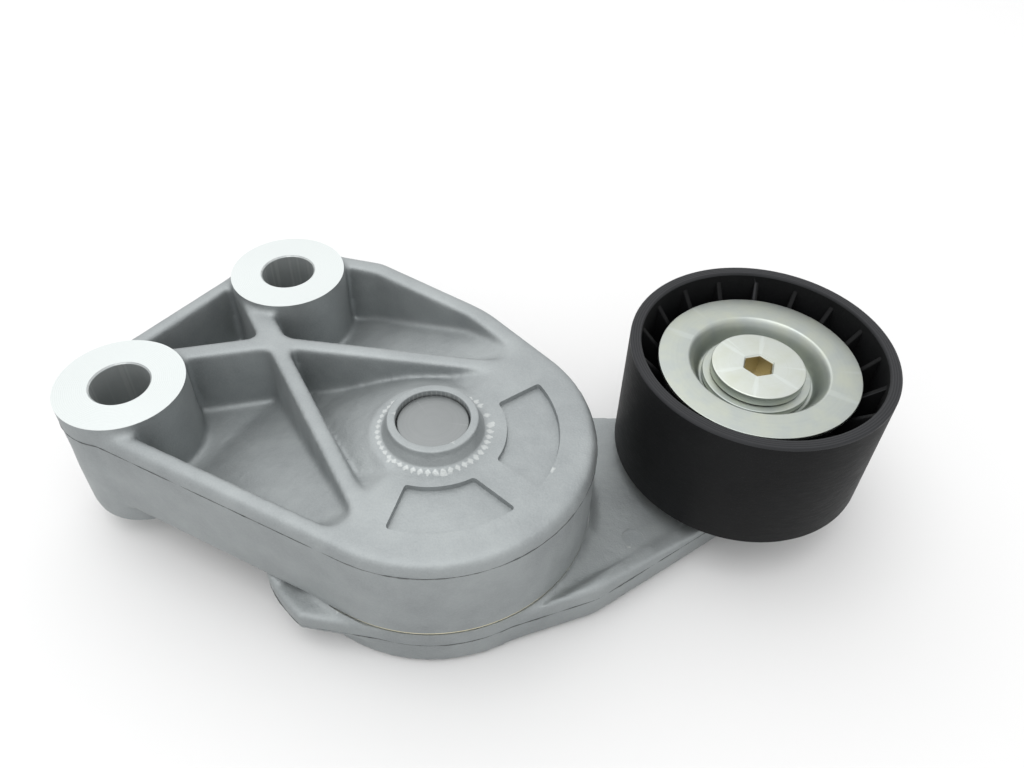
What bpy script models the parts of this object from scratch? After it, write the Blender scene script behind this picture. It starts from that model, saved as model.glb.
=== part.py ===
"""Belt tensioner idler: a cast spring case with its bracket, a sprung arm under it, and a plain
pulley on a ball bearing at the arm's end.

The origin is on the pivot's axis, in the plane that the arm lies on. +Z runs along that axis
towards the bracket's machined boss faces, and +X from the pivot to the pulley at rest.
Sizes are in millimetres, and MM turns them into Blender's metres.
"""

import math

import bmesh
import bpy
from mathutils import Vector

MM = 0.001
GAP = 0.3  # between two pieces that touch, or nearly touch, on the real object
THROUGH = 1.0  # how far a cutter runs past the face that it opens

# Spring case and bracket
CASE_RADIUS = 46.65
CASE_WALL = 5.15
FACE_Z = 46.9
EDGE_ROUND = 1.2
CASE_DRAFT = 0.45
PARTING_Z = 43.0
SEAM_Z = 16.1
SEAM_RING = 0.6
BOSS_LEFT = (-85.75, 33.46)
BOSS_RIGHT = (-36.0, 77.5)
BOSS_HULL_RADIUS = 17.6
BOSS_RADIUS = 18.9
BOSS_FACE_RADIUS = 18.5
BOSS_BORE_RADIUS = 8.45
BOSS_FACE_Z = 49.7
BOSS_SEAT_Z = 9.0
SHOULDER = (-9.0, 74.0)
SHOULDER_RADIUS = 8.5
SWELL = (-7.0, 24.9)  # the back wall bulges round this centre
SWELL_RADIUS = 40.7

# Pockets and ribs on the bracket
WALL_TOP = 5.6
POCKET_FLOOR_Z = 25.0
POCKET_DRAFT = 0.045
POCKET_CORNER = 2.5
RIB_CROSSING = (-42.2, 46.7)
RIB_TO_LEFT_BOSS = 180.0
RIB_TO_BACK = -20.7
RIB_TO_FRONT = -74.6
RIB_WIDTH = 5.0
RIB_ROOT_WIDTH = 7.4
FLOOR_RISE = (0.328, -0.159)  # slope of the back pocket's floor along X and Y
FLOOR_AT_AXIS_Z = 41.4
ROOF_THICKNESS = 4.2
PAD_RADIUS = 17.5
PAD_SLOPE = 0.8
RECESS_DEPTH = 1.5
RECESS_INNER_RADIUS = 21.0
RECESS_OUTER_RADIUS = 35.5

# Pivot
RING_TOP_Z = 51.7
RING_RADIUS = 12.83
RING_FOOT_RADIUS = 14.53
PIN_RADIUS = 10.2
PIN_TOP_Z = 50.0
PIN_HEAD_RADIUS = 15.5
PIN_HEAD = 3.0
BUSH_WALL = 1.7
HUB_WALL = 5.0
HUB_TOP_Z = 25.5
THRUST_WASHER = 1.0
COLLAR_WALL = 5.5

# Spring and damper
CUP_FLOOR_Z = 5.0
SPRING_WIRE = 6.4
SPRING_RADIUS = 29.3
SPRING_TURNS = 2.4
SPRING_START = 186.0
SLEEVE_WALL = 1.4
BACKING_WALL = 0.9
SHOE_TOP_Z = 22.0
SHOE_ARC = (-120.0, 0.0)

# Arm
ARM_LENGTH = 98.0
ARM_TRAVEL = 50.0
ARM_EDGE_CIRCLES = (((36.0, -27.4), 14.0), ((48.0, 9.5), 17.8))
ARM_ROOT_CIRCLE = ((10.0, -10.0), 34.5)
ARM_END_RADIUS = 17.0
RIM_Z = 15.5  # top of the arm's near rim beside the cup
RIM_FALL = 0.085
RIM_WIDTH = 4.2
WEB_Z = 13.0
WEB_FALL = 0.048
PARTING_LOW_Z = 10.0
LUG_BOTTOM_Z = 8.0
LUG_TOP_Z = 15.0
LUG_RADIUS = 54.3
LUG_ARC = (-164.0, -144.0)
LUG_FOOT_ANGLE = -119.0
TAB_ARC = 5.0
STOP_BLOCK_ARC = 7.0
STOP_BLOCK_Z = 9.0
STOP_BLOCK_WIDTH = 4.5

# Pulley
PULLEY_RADIUS = 39.0
PULLEY_BOTTOM_Z = 17.9
PULLEY_TOP_Z = 59.95
PULLEY_EDGE = 0.7
RIM_INNER_RADIUS = 35.7
HUB_THICKNESS = 3.7
PULLEY_WEB = 6.0
PULLEY_RIBS = 18
PULLEY_RIB_WIDTH = 1.6
PULLEY_RIB_PHASE = 7.6
RIB_TOP_DROP = 2.5  # from the pulley's edge down to where its ribs start

# Bearing and bolt
BEARING_BORE_RADIUS = 8.5
BEARING_RADIUS = 23.5
BEARING_WIDTH = 14.0
BALLS = 7
BALL_RADIUS = 4.4
RING_SHOULDER = 3.3  # radial distance from the balls' circle to each ring's shoulder
SEAL = 0.8
BOLT_RADIUS = 5.95
BOLT_HEAD_RADIUS = 13.9
BOLT_HEAD = 3.2
BOLT_END_Z = 2.0
SOCKET_FLATS = 8.0
SOCKET_DEPTH = 6.0
WASHER_RADIUS = 16.1
WASHER = 1.9
SHIELD = 1.2
SHIELD_RADIUS = 29.9
SHIELD_CREST_RADIUS = 23.0
SHIELD_RISE = 6.5
REAR_SHIELD_RADIUS = 21.5
POST_RADIUS = 13.0
POST_FOOT_RADIUS = 16.0
FLANGE_RADIUS = 25.0
FLANGE_Z = 9.5

STEPS = 36
BIG_STEPS = 56

# Values worked out from the ones above
CASE_BOTTOM_Z = SEAM_Z + SEAM_RING / 2 + GAP
CUP_TOP_Z = SEAM_Z - SEAM_RING / 2 - GAP
CAVITY_RADIUS = CASE_RADIUS - CASE_WALL
BUSH_INNER = PIN_RADIUS + GAP
BUSH_OUTER = BUSH_INNER + BUSH_WALL
HUB_BORE = BUSH_OUTER + GAP
HUB_RADIUS = HUB_BORE + HUB_WALL
PIN_SEAT_Z = PIN_HEAD + GAP + THRUST_WASHER + GAP
COLLAR_Z = HUB_TOP_Z + GAP + THRUST_WASHER + GAP
COLLAR_RADIUS = BUSH_INNER + COLLAR_WALL
SPRING_PITCH = SPRING_WIRE + 0.4
SLEEVE_INNER = SPRING_RADIUS + SPRING_WIRE / 2 + GAP
SLEEVE_OUTER = SLEEVE_INNER + SLEEVE_WALL
BACKING_OUTER = SLEEVE_OUTER + GAP + BACKING_WALL
SHOE_OUTER = CAVITY_RADIUS - GAP
BEARING_Z = (PULLEY_BOTTOM_Z + PULLEY_TOP_Z) / 2
BEARING_LOW_Z = BEARING_Z - BEARING_WIDTH / 2
BEARING_HIGH_Z = BEARING_Z + BEARING_WIDTH / 2
BALL_CIRCLE = (BEARING_BORE_RADIUS + BEARING_RADIUS) / 2
RACE_RADIUS = BALL_RADIUS + GAP
HUB_INNER = BEARING_RADIUS + GAP
HUB_OUTER = HUB_INNER + HUB_THICKNESS
POST_TOP_Z = BEARING_LOW_Z - GAP - SHIELD - GAP
SHIELD_Z = BEARING_HIGH_Z + GAP
WASHER_Z = SHIELD_Z + SHIELD + GAP
HEAD_Z = WASHER_Z + WASHER + GAP
THREAD_BORE = BOLT_RADIUS + GAP
STOP_RADIUS = CASE_RADIUS + 2 * GAP  # inner side of the bracket's two stop blocks


# --- Scene, materials and small helpers ----------------------------------------------


def clear_scene():
    for obj in list(bpy.data.objects):
        bpy.data.objects.remove(obj, do_unlink=True)


def new_collection(name):
    collection = bpy.data.collections.new(name)
    bpy.context.scene.collection.children.link(collection)
    return collection


clear_scene()
PARTS = new_collection("belt_tensioner_idler")
CUTTERS = new_collection("cutters")
CUTTERS.hide_render = True


def finish(name, color, roughness, metallic):
    """A Principled material of one colour."""
    material = bpy.data.materials.new(name)
    material.use_nodes = True
    shader = material.node_tree.nodes["Principled BSDF"]
    shader.inputs["Base Color"].default_value = (*color, 1.0)
    shader.inputs["Roughness"].default_value = roughness
    shader.inputs["Metallic"].default_value = metallic
    return material


def add(name, mesh):
    """A new object that is still a helper: keep() turns it into a part."""
    obj = bpy.data.objects.new(name, mesh)
    CUTTERS.objects.link(obj)
    obj.hide_render = True
    obj.display_type = "WIRE"
    return obj


def keep(obj, material, parent=None):
    """Makes a helper into a named part of the assembly."""
    CUTTERS.objects.unlink(obj)
    PARTS.objects.link(obj)
    obj.hide_render = False
    obj.display_type = "TEXTURED"
    obj.data.materials.append(material)
    obj.parent = parent
    return obj


def boolean(obj, operation, *others):
    for other in others:
        modifier = obj.modifiers.new(f"{operation.lower()} {other.name}", "BOOLEAN")
        modifier.operation = operation
        modifier.object = other
    return obj


def cut(obj, *others):
    return boolean(obj, "DIFFERENCE", *others)


def join(obj, *others):
    return boolean(obj, "UNION", *others)


def axis_empty(name, x, parent=None):
    """An empty on a joint's axis, which the pieces that turn about it hang from."""
    empty = bpy.data.objects.new(name, None)
    PARTS.objects.link(empty)
    empty.location = (x * MM, 0, 0)
    empty.parent = parent
    return empty


# --- Shapes --------------------------------------------------------------------------


def mesh_from(bm, name):
    mesh = bpy.data.meshes.new(name)
    bmesh.ops.recalc_face_normals(bm, faces=bm.faces)
    bm.to_mesh(mesh)
    bm.free()
    return mesh


def turned(name, profile, centre=(0.0, 0.0), steps=STEPS):
    """A shape turned about a vertical axis. The (radius, z) profile runs out along the top, down
    the outer side and in along the bottom; it is closed unless it starts on the axis."""
    bm = bmesh.new()
    points = [bm.verts.new((radius * MM, 0, z * MM)) for radius, z in profile]
    for first, second in zip(points, points[1:]):
        bm.edges.new((first, second))
    if profile[0][0] > 0:
        bm.edges.new((points[-1], points[0]))
    mesh = bpy.data.meshes.new(name)
    bm.to_mesh(mesh)
    bm.free()
    obj = add(name, mesh)
    obj.location = (centre[0] * MM, centre[1] * MM, 0)
    screw = obj.modifiers.new("turn", "SCREW")
    screw.steps = screw.render_steps = steps
    screw.use_merge_vertices = True
    screw.merge_threshold = 0.00001
    return obj


def ring(name, inner, outer, low, high, centre=(0.0, 0.0), steps=STEPS):
    profile = [(inner, high), (outer, high), (outer, low), (inner, low)]
    return turned(name, profile, centre, steps)


def disc(name, radius, low, high, centre=(0.0, 0.0), steps=STEPS):
    profile = [(0, high), (radius, high), (radius, low), (0, low)]
    return turned(name, profile, centre, steps)


def hull(name, circles, levels, segments=BIG_STEPS):
    """The convex hull of level circles. Each circle is (centre, radius), and each level is
    (z, change of radius), so a draft or a rounded edge is a few levels."""
    bm = bmesh.new()
    for (x, y), radius in circles:
        for z, change in levels:
            for step in range(segments):
                angle = math.tau * step / segments
                reach = radius + change
                point = (x + reach * math.cos(angle), y + reach * math.sin(angle), z)
                bm.verts.new(Vector(point) * MM)
    made = bmesh.ops.convex_hull(bm, input=bm.verts)
    inside = set(made["geom_interior"]) | set(made["geom_unused"])
    loose = [part for part in inside if isinstance(part, bmesh.types.BMVert)]
    bmesh.ops.delete(bm, geom=loose, context="VERTS")
    bmesh.ops.dissolve_limit(
        bm, angle_limit=math.radians(0.2), verts=bm.verts, edges=bm.edges
    )
    return add(name, mesh_from(bm, name))


def prism(name, outline, low, high, top=None):
    """An outline drawn up from low to high. Where top is given, the walls lean to it."""
    bm = bmesh.new()
    face = bm.faces.new([bm.verts.new((x * MM, y * MM, low * MM)) for x, y in outline])
    raised = bmesh.ops.extrude_face_region(bm, geom=[face])["geom"]
    tips = [part for part in raised if isinstance(part, bmesh.types.BMVert)]
    for tip in tips:
        tip.co.z = high * MM
    if top:
        for tip in tips:
            nearest = min(
                range(len(outline)),
                key=lambda i: (Vector(outline[i]) * MM - tip.co.xy).length,
            )
            tip.co.xy = Vector(top[nearest]) * MM
    return add(name, mesh_from(bm, name))


def arc(radius, start, end, steps):
    """Points of an arc about the pivot's axis."""
    angles = [start + (end - start) * step / steps for step in range(steps + 1)]
    return [(radius * math.cos(math.radians(a)), radius * math.sin(math.radians(a))) for a in angles]


def sector(name, inner, outer, inner_arc, outer_arc, low, high, steps=10):
    """A slice of a ring about the pivot's axis."""
    outline = arc(outer, *outer_arc, steps) + arc(inner, *reversed(inner_arc), steps)
    return prism(name, outline, low, high)


def trim(obj, point, normal):
    """Removes what lies on the side that normal points to, and closes the cut."""
    bm = bmesh.new()
    bm.from_mesh(obj.data)
    bmesh.ops.bisect_plane(
        bm,
        geom=bm.verts[:] + bm.edges[:] + bm.faces[:],
        plane_co=Vector(point) * MM,
        plane_no=Vector(normal),
        clear_outer=True,
    )
    open_edges = [edge for edge in bm.edges if edge.is_boundary]
    if open_edges:
        bmesh.ops.holes_fill(bm, edges=open_edges)
    bmesh.ops.recalc_face_normals(bm, faces=bm.faces)
    bm.to_mesh(obj.data)
    bm.free()


# --- Plan geometry: lines are (unit normal, distance), with the kept side inside ------


def direction(degrees):
    return Vector((math.cos(math.radians(degrees)), math.sin(math.radians(degrees))))


def tangent(first, second):
    """The line that touches two circles on the left of the way from the first to the second."""
    (centre_1, radius_1), (centre_2, radius_2) = first, second
    way = Vector(centre_2) - Vector(centre_1)
    turn = math.acos((radius_1 - radius_2) / way.length)
    normal = direction(math.degrees(math.atan2(way.y, way.x) + turn))
    return normal, normal.dot(Vector(centre_1)) + radius_1


def moved(line, distance):
    """The line moved outwards, or inwards where distance is negative."""
    return line[0], line[1] + distance


def beside_rib(way, width, side):
    """The line along one side of a rib: side is 1 on the left of its way, and -1 on its right.
    The pocket that it bounds lies beyond it."""
    normal = -side * direction(way + 90)
    return normal, normal.dot(Vector(RIB_CROSSING)) - width / 2


def corners(lines):
    """The corners of the polygon inside a set of lines."""
    ordered = sorted(lines, key=lambda line: math.atan2(line[0].y, line[0].x))
    points = []
    for (n1, d1), (n2, d2) in zip(ordered, ordered[1:] + ordered[:1]):
        det = n1.x * n2.y - n1.y * n2.x
        points.append(((d1 * n2.y - d2 * n1.y) / det, (d2 * n1.x - d1 * n2.x) / det))
    return points


# --- Bracket casting -----------------------------------------------------------------

CASE = ((0.0, 0.0), CASE_RADIUS)
OUTLINE = (
    CASE,
    (BOSS_LEFT, BOSS_HULL_RADIUS),
    (BOSS_RIGHT, BOSS_HULL_RADIUS),
    (SHOULDER, SHOULDER_RADIUS),
    (SWELL, SWELL_RADIUS),
)
FRONT, LEFT, TOP, BACK, FLANK = (
    tangent(first, second) for first, second in zip(OUTLINE, OUTLINE[1:] + OUTLINE[:1])
)
FLOOR_UP = Vector((-FLOOR_RISE[0], -FLOOR_RISE[1], 1.0)).normalized()


def pocket(name, lines, floors):
    """A cutter for one sunk pocket. Its walls lean by the draft, its upright corners are
    rounded, and each floor is a (point, upward normal) plane that it stays above."""
    high = FACE_Z + THROUGH
    slack = POCKET_DRAFT * (high - POCKET_FLOOR_Z)
    lowest = corners([moved(line, -slack) for line in lines])
    obj = prism(name, lowest, POCKET_FLOOR_Z, high, corners(lines))
    bm = bmesh.new()
    bm.from_mesh(obj.data)
    upright = [edge for edge in bm.edges if abs(edge.verts[0].co.z - edge.verts[1].co.z) > MM]
    bmesh.ops.bevel(
        bm, geom=upright, offset=POCKET_CORNER * MM, segments=3, profile=0.5, affect="EDGES"
    )
    bm.to_mesh(obj.data)
    bm.free()
    for point, normal in floors:
        trim(obj, point, -normal)
    return obj


def ramp(zero_point, way, slope, drop=0.0):
    """A floor plane that sinks from the face, or from drop below it, along a plan direction."""
    down = direction(way)
    normal = Vector((slope * down.x, slope * down.y, 1.0)).normalized()
    return (zero_point[0], zero_point[1], FACE_Z - drop), normal


def pocket_cutters():
    to_back = RIB_TO_BACK
    to_front = RIB_TO_FRONT
    shared_floor = ((0.0, 0.0, FLOOR_AT_AXIS_Z), FLOOR_UP)
    near = pocket(
        "near_pocket",
        [
            beside_rib(RIB_TO_LEFT_BOSS, RIB_WIDTH + 1.0, 1),
            beside_rib(to_front, RIB_WIDTH, -1),
            moved(FRONT, -WALL_TOP),
            (Vector((-1.0, 0.0)), -BOSS_LEFT[0]),
        ],
        [ramp((-28.0, -27.0), 120.0, 0.7), ramp((-28.0, -27.0), 120.0, 0.34, 5.3)],
    )
    middle = pocket(
        "middle_pocket",
        [
            beside_rib(to_back, RIB_WIDTH, -1),
            beside_rib(to_front, RIB_WIDTH, 1),
            (direction(-50.3), 6.0),
        ],
        [ramp((24.9, 18.4), 129.7, 0.423)],
    )
    back = pocket(
        "back_pocket",
        [
            beside_rib(to_back, RIB_WIDTH, 1),
            beside_rib(to_front + 180, RIB_ROOT_WIDTH, -1),
            moved(TOP, -WALL_TOP - 1.0),
            moved(BACK, -WALL_TOP - 1.0),
            moved(FLANK, -WALL_TOP - 1.5),
        ],
        [shared_floor],
    )
    left = pocket(
        "left_pocket",
        [
            beside_rib(RIB_TO_LEFT_BOSS, RIB_WIDTH + 1.0, -1),
            beside_rib(to_front + 180, RIB_ROOT_WIDTH, 1),
            moved(LEFT, -WALL_TOP),
        ],
        [],
    )
    return near, middle, back, left


def boss(name, centre):
    """A through-bored boss with its machined face a little narrower than its cast body."""
    return turned(
        name,
        [
            (0, BOSS_FACE_Z),
            (BOSS_FACE_RADIUS, BOSS_FACE_Z),
            (BOSS_FACE_RADIUS, BOSS_FACE_Z - 1.2),
            (BOSS_RADIUS - 0.9, FACE_Z - 0.8),
            (BOSS_RADIUS, POCKET_FLOOR_Z),
            (BOSS_RADIUS, BOSS_SEAT_Z + 1.0),
            (BOSS_RADIUS - 1.0, BOSS_SEAT_Z),
            (0, BOSS_SEAT_Z),
        ],
        centre,
    )


def pivot_pad():
    """The round pad that keeps the face level about the pivot, with the ring on it."""
    outer = CASE_RADIUS - CASE_WALL / 2
    drop = (outer - PAD_RADIUS) * PAD_SLOPE
    return turned(
        "pivot_pad",
        [
            (0, RING_TOP_Z),
            (RING_RADIUS - 0.4, RING_TOP_Z),
            (RING_RADIUS, RING_TOP_Z - 0.4),
            (RING_FOOT_RADIUS, FACE_Z),
            (PAD_RADIUS, FACE_Z),
            (outer, FACE_Z - drop),
            (outer, SHOE_TOP_Z),
            (0, SHOE_TOP_Z),
        ],
        steps=BIG_STEPS,
    )


def spring_cavity():
    """The hollow over the spring: its ceiling stays under the sloping pocket floors."""
    low, high = CASE_BOTTOM_Z - THROUGH, FACE_Z - ROOF_THICKNESS - RECESS_DEPTH
    cavity = turned(
        "case_cavity",
        [
            (0, COLLAR_Z),
            (COLLAR_RADIUS, COLLAR_Z),
            (COLLAR_RADIUS, high),
            (CAVITY_RADIUS, high),
            (CAVITY_RADIUS, low),
            (0, low),
        ],
        steps=BIG_STEPS,
    )
    reach = 2 * CASE_RADIUS
    square = [(-reach, -reach), (reach, -reach), (reach, reach), (-reach, reach)]
    above = prism("above_ceiling", square, SHOE_TOP_Z + GAP, FACE_Z + reach)
    trim(above, (0.0, 0.0, FLOOR_AT_AXIS_Z - ROOF_THICKNESS), -FLOOR_UP)
    return cut(cavity, above)


def underside_recess():
    """The shallow hollow under the bracket's arm, outside the spring case and the bosses."""
    inset = [(centre, radius - CASE_WALL) for centre, radius in OUTLINE]
    low, high = CASE_BOTTOM_Z - THROUGH, POCKET_FLOOR_Z - ROOF_THICKNESS
    recess = hull("underside_recess", inset, [(low, 0), (high, 0)])
    keep_clear = [
        disc("case_zone", CASE_RADIUS, low - THROUGH, high + THROUGH, steps=BIG_STEPS),
        disc("left_zone", BOSS_RADIUS + GAP, low - THROUGH, high + THROUGH, BOSS_LEFT),
        disc("right_zone", BOSS_RADIUS + GAP, low - THROUGH, high + THROUGH, BOSS_RIGHT),
    ]
    return cut(recess, *keep_clear)


def arm_far_edge():
    """The far side of the arm's plate, as a line in plan."""
    return tangent(ARM_EDGE_CIRCLES[1], ((ARM_LENGTH, 0.0), ARM_END_RADIUS))


def stop_blocks():
    """Two blocks under the bracket: the arm's tab rests on one, and its plate meets the other
    at the end of its travel."""
    slack = math.degrees(GAP / STOP_RADIUS)
    low, high = STOP_BLOCK_Z, POCKET_FLOOR_Z - ROOF_THICKNESS + THROUGH
    outer = STOP_RADIUS + STOP_BLOCK_WIDTH
    rest_end = LUG_ARC[0] - slack
    rest_arc = (rest_end - STOP_BLOCK_ARC, rest_end)
    normal, distance = arm_far_edge()
    edge_angle = math.degrees(math.atan2(normal.y, normal.x) - math.acos(distance / STOP_RADIUS))
    travel_start = edge_angle + ARM_TRAVEL + 2 * slack
    travel_arc = (travel_start, travel_start + STOP_BLOCK_ARC)
    return [
        sector("rest_stop", STOP_RADIUS, outer, rest_arc, rest_arc, low, high, 4),
        sector("travel_stop", STOP_RADIUS, outer, travel_arc, travel_arc, low, high, 4),
    ]


def spring_ledge(name, at, low, high, side):
    """A block that one end of the coil butts against."""
    reach = math.degrees(7.0 / SPRING_RADIUS)
    slack = math.degrees(2 * GAP / SPRING_RADIUS)
    ends = sorted((at + side * slack, at + side * (slack + reach)))
    half = SPRING_WIRE / 2
    return sector(name, SPRING_RADIUS - half, SPRING_RADIUS + half, ends, ends, low, high, 3)


def bracket_casting(material):
    rounding = [(FACE_Z - EDGE_ROUND, -CASE_DRAFT), (FACE_Z, -CASE_DRAFT - EDGE_ROUND)]
    casting = hull("bracket_casting", OUTLINE, [(CASE_BOTTOM_Z, 0), (PARTING_Z, 0), *rounding])
    recesses = [
        ((-43.6, 16.4), (-47.8, 18.9)),
        ((-119.8, -69.0), (-119.4, -63.1)),
    ]
    cut(casting, *pocket_cutters())
    join(casting, boss("left_boss", BOSS_LEFT), boss("right_boss", BOSS_RIGHT), pivot_pad())
    for number, (inner_arc, outer_arc) in enumerate(recesses, 1):
        radii = RECESS_INNER_RADIUS, RECESS_OUTER_RADIUS
        low, high = FACE_Z - RECESS_DEPTH, FACE_Z + THROUGH
        cut(casting, sector(f"recess_{number}", *radii, inner_arc, outer_arc, low, high))
    cut(casting, spring_cavity(), underside_recess())
    join(casting, *stop_blocks())
    coil_end = SPRING_START + 360 * SPRING_TURNS
    ledge_z = CUP_FLOOR_Z + GAP + SPRING_TURNS * SPRING_PITCH
    ledge_top = FACE_Z - ROOF_THICKNESS
    join(casting, spring_ledge("case_ledge", coil_end, ledge_z, ledge_top, 1))
    cut(casting, disc("pin_bore", BUSH_INNER, COLLAR_Z - THROUGH, RING_TOP_Z + THROUGH))
    for name, centre in (("left_bore", BOSS_LEFT), ("right_bore", BOSS_RIGHT)):
        low, high = BOSS_SEAT_Z - THROUGH, BOSS_FACE_Z + THROUGH
        cut(casting, disc(name, BOSS_BORE_RADIUS, low, high, centre))
    return keep(casting, material)


# --- Pivot, spring and damper --------------------------------------------------------


def pivot_pin(material):
    return keep(
        turned(
            "pivot_pin",
            [
                (0, PIN_TOP_Z),
                (PIN_RADIUS - 0.3, PIN_TOP_Z),
                (PIN_RADIUS, PIN_TOP_Z - 0.3),
                (PIN_RADIUS, PIN_HEAD),
                (PIN_HEAD_RADIUS, PIN_HEAD),
                (PIN_HEAD_RADIUS, 0.6),
                (PIN_HEAD_RADIUS - 0.6, 0),
                (0, 0),
            ],
        ),
        material,
    )


def torsion_spring(material):
    """Round wire wound upwards, counter-clockwise from above."""
    curve = bpy.data.curves.new("torsion_spring", "CURVE")
    curve.dimensions = "3D"
    curve.bevel_depth = SPRING_WIRE / 2 * MM
    curve.bevel_resolution = 2
    curve.use_fill_caps = True
    count = round(24 * SPRING_TURNS) + 1
    spline = curve.splines.new("POLY")
    spline.points.add(count - 1)
    low = CUP_FLOOR_Z + GAP + SPRING_WIRE / 2
    for step, point in enumerate(spline.points):
        share = step / (count - 1)
        angle = math.radians(SPRING_START + 360 * SPRING_TURNS * share)
        x, y = SPRING_RADIUS * math.cos(angle), SPRING_RADIUS * math.sin(angle)
        z = low + SPRING_PITCH * SPRING_TURNS * share
        point.co = (x * MM, y * MM, z * MM, 1.0)
    return keep(add("torsion_spring", curve), material)


def damper(sleeve_material, shoe_material, backing_material, parent):
    low = CUP_FLOOR_Z + GAP
    arcs = SHOE_ARC, SHOE_ARC
    sleeve = ring("spring_sleeve", SLEEVE_INNER, SLEEVE_OUTER, low, SHOE_TOP_Z, steps=BIG_STEPS)
    backing_inner = SLEEVE_OUTER + GAP
    backing = sector("shoe_backing", backing_inner, BACKING_OUTER, *arcs, low, SHOE_TOP_Z, 24)
    shoe_inner = BACKING_OUTER + GAP
    shoe = sector("damper_shoe", shoe_inner, SHOE_OUTER, *arcs, low, SHOE_TOP_Z, 24)
    keep(sleeve, sleeve_material, parent)
    keep(backing, backing_material, parent)
    keep(shoe, shoe_material, parent)


# --- Arm casting ---------------------------------------------------------------------


def falling_plane(z, fall):
    """A plane through height z above the pivot-side end of the plate, falling along +X."""
    return (CASE_RADIUS - GAP, 0.0, z), Vector((fall, 0.0, 1.0)).normalized()


def arm_plate():
    """The plate round the cup, lowered to its web behind the near rim."""
    end = ((ARM_LENGTH, 0.0), ARM_END_RADIUS)
    circles = (ARM_ROOT_CIRCLE, *ARM_EDGE_CIRCLES, end)
    levels = [(0.5, -0.8), (1.3, 0), (PARTING_LOW_Z, 0.5), (RIM_Z - GAP, 0)]
    plate = hull("arm_casting", circles, levels)
    trim(plate, *falling_plane(RIM_Z - 0.6, RIM_FALL))
    near_line = tangent(end, ARM_EDGE_CIRCLES[0])
    lines = [
        moved(near_line, -RIM_WIDTH),
        (direction(90), 2 * CASE_RADIUS),
        (direction(180), 0.0),
        (direction(0), ARM_LENGTH + 2 * ARM_END_RADIUS),
    ]
    web = prism("web_recess", corners(lines), 2.0, RIM_Z + THROUGH)
    point, normal = falling_plane(WEB_Z, WEB_FALL)
    trim(web, point, -normal)
    zone = disc("cup_zone", CASE_RADIUS - CASE_WALL / 2, -THROUGH, RIM_Z + THROUGH, steps=BIG_STEPS)
    return cut(plate, web, zone)


def cup():
    """The arm's half of the spring case, with its floor, the hub and the seat of the pin."""
    return turned(
        "cup",
        [
            (HUB_BORE, HUB_TOP_Z),
            (HUB_RADIUS, HUB_TOP_Z),
            (HUB_RADIUS, CUP_FLOOR_Z),
            (CAVITY_RADIUS, CUP_FLOOR_Z),
            (CAVITY_RADIUS, CUP_TOP_Z),
            (CASE_RADIUS - 0.1, CUP_TOP_Z),
            (CASE_RADIUS + 0.1, PARTING_LOW_Z),
            (CASE_RADIUS - 0.45, 0.8),
            (CASE_RADIUS - 1.2, 0),
            (PIN_HEAD_RADIUS + GAP, 0),
            (PIN_HEAD_RADIUS + GAP, PIN_SEAT_Z),
            (HUB_BORE, PIN_SEAT_Z),
        ],
        steps=BIG_STEPS,
    )


def stop_lug():
    """The lug at the front left, from a flat side that leaves the cup to its rounded end."""
    start, end = LUG_ARC
    foot = arc(CASE_RADIUS - CASE_WALL / 2, start, LUG_FOOT_ANGLE, 6)
    outer = arc(LUG_RADIUS, end, start, 4)
    corner = direction(LUG_FOOT_ANGLE) * CASE_RADIUS
    return prism("stop_lug", [*foot, tuple(corner), *outer], LUG_BOTTOM_Z, LUG_TOP_Z)


def stop_tab():
    arcs = (LUG_ARC[0], LUG_ARC[0] + TAB_ARC)
    low, high = LUG_BOTTOM_Z + THROUGH, CASE_BOTTOM_Z - GAP
    return sector("stop_tab", STOP_RADIUS, LUG_RADIUS, arcs, arcs, low, high, 2)


def arm_casting(material, parent):
    casting = arm_plate()
    end = (ARM_LENGTH, 0.0)
    post = turned(
        "post",
        [
            (0, POST_TOP_Z),
            (POST_RADIUS, POST_TOP_Z),
            (POST_RADIUS + 0.4, WEB_Z + 2.0),
            (POST_FOOT_RADIUS, FLANGE_Z + 0.5),
            (FLANGE_RADIUS - 1.5, FLANGE_Z),
            (FLANGE_RADIUS, FLANGE_Z - 1.5),
            (FLANGE_RADIUS, 1.5),
            (FLANGE_RADIUS - 1.0, 0.7),
            (0, 0.7),
        ],
        end,
    )
    coil_stop = spring_ledge(
        "cup_ledge", SPRING_START, CUP_FLOOR_Z - THROUGH, CUP_FLOOR_Z + SPRING_WIRE, -1
    )
    join(casting, cup(), stop_lug(), stop_tab(), post, coil_stop)
    cut(casting, disc("thread_bore", THREAD_BORE, -THROUGH, POST_TOP_Z + THROUGH, end))
    return keep(casting, material, parent)


def pivot_pieces(bush_material, washer_material, parent):
    """The bush and the two thrust washers that the arm turns on."""
    bush = ring("pivot_bushing", BUSH_INNER, BUSH_OUTER, PIN_SEAT_Z, HUB_TOP_Z)
    low, high = PIN_HEAD + GAP, PIN_HEAD + GAP + THRUST_WASHER
    lower = ring("lower_thrust_washer", BUSH_INNER, PIN_HEAD_RADIUS, low, high)
    low, high = HUB_TOP_Z + GAP, HUB_TOP_Z + GAP + THRUST_WASHER
    upper = ring("upper_thrust_washer", BUSH_INNER, COLLAR_RADIUS, low, high)
    keep(bush, bush_material, parent)
    keep(lower, washer_material, parent)
    keep(upper, washer_material, parent)


# --- Pulley, bearing and bolt: all turned about the pulley's own axis ------------------


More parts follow.
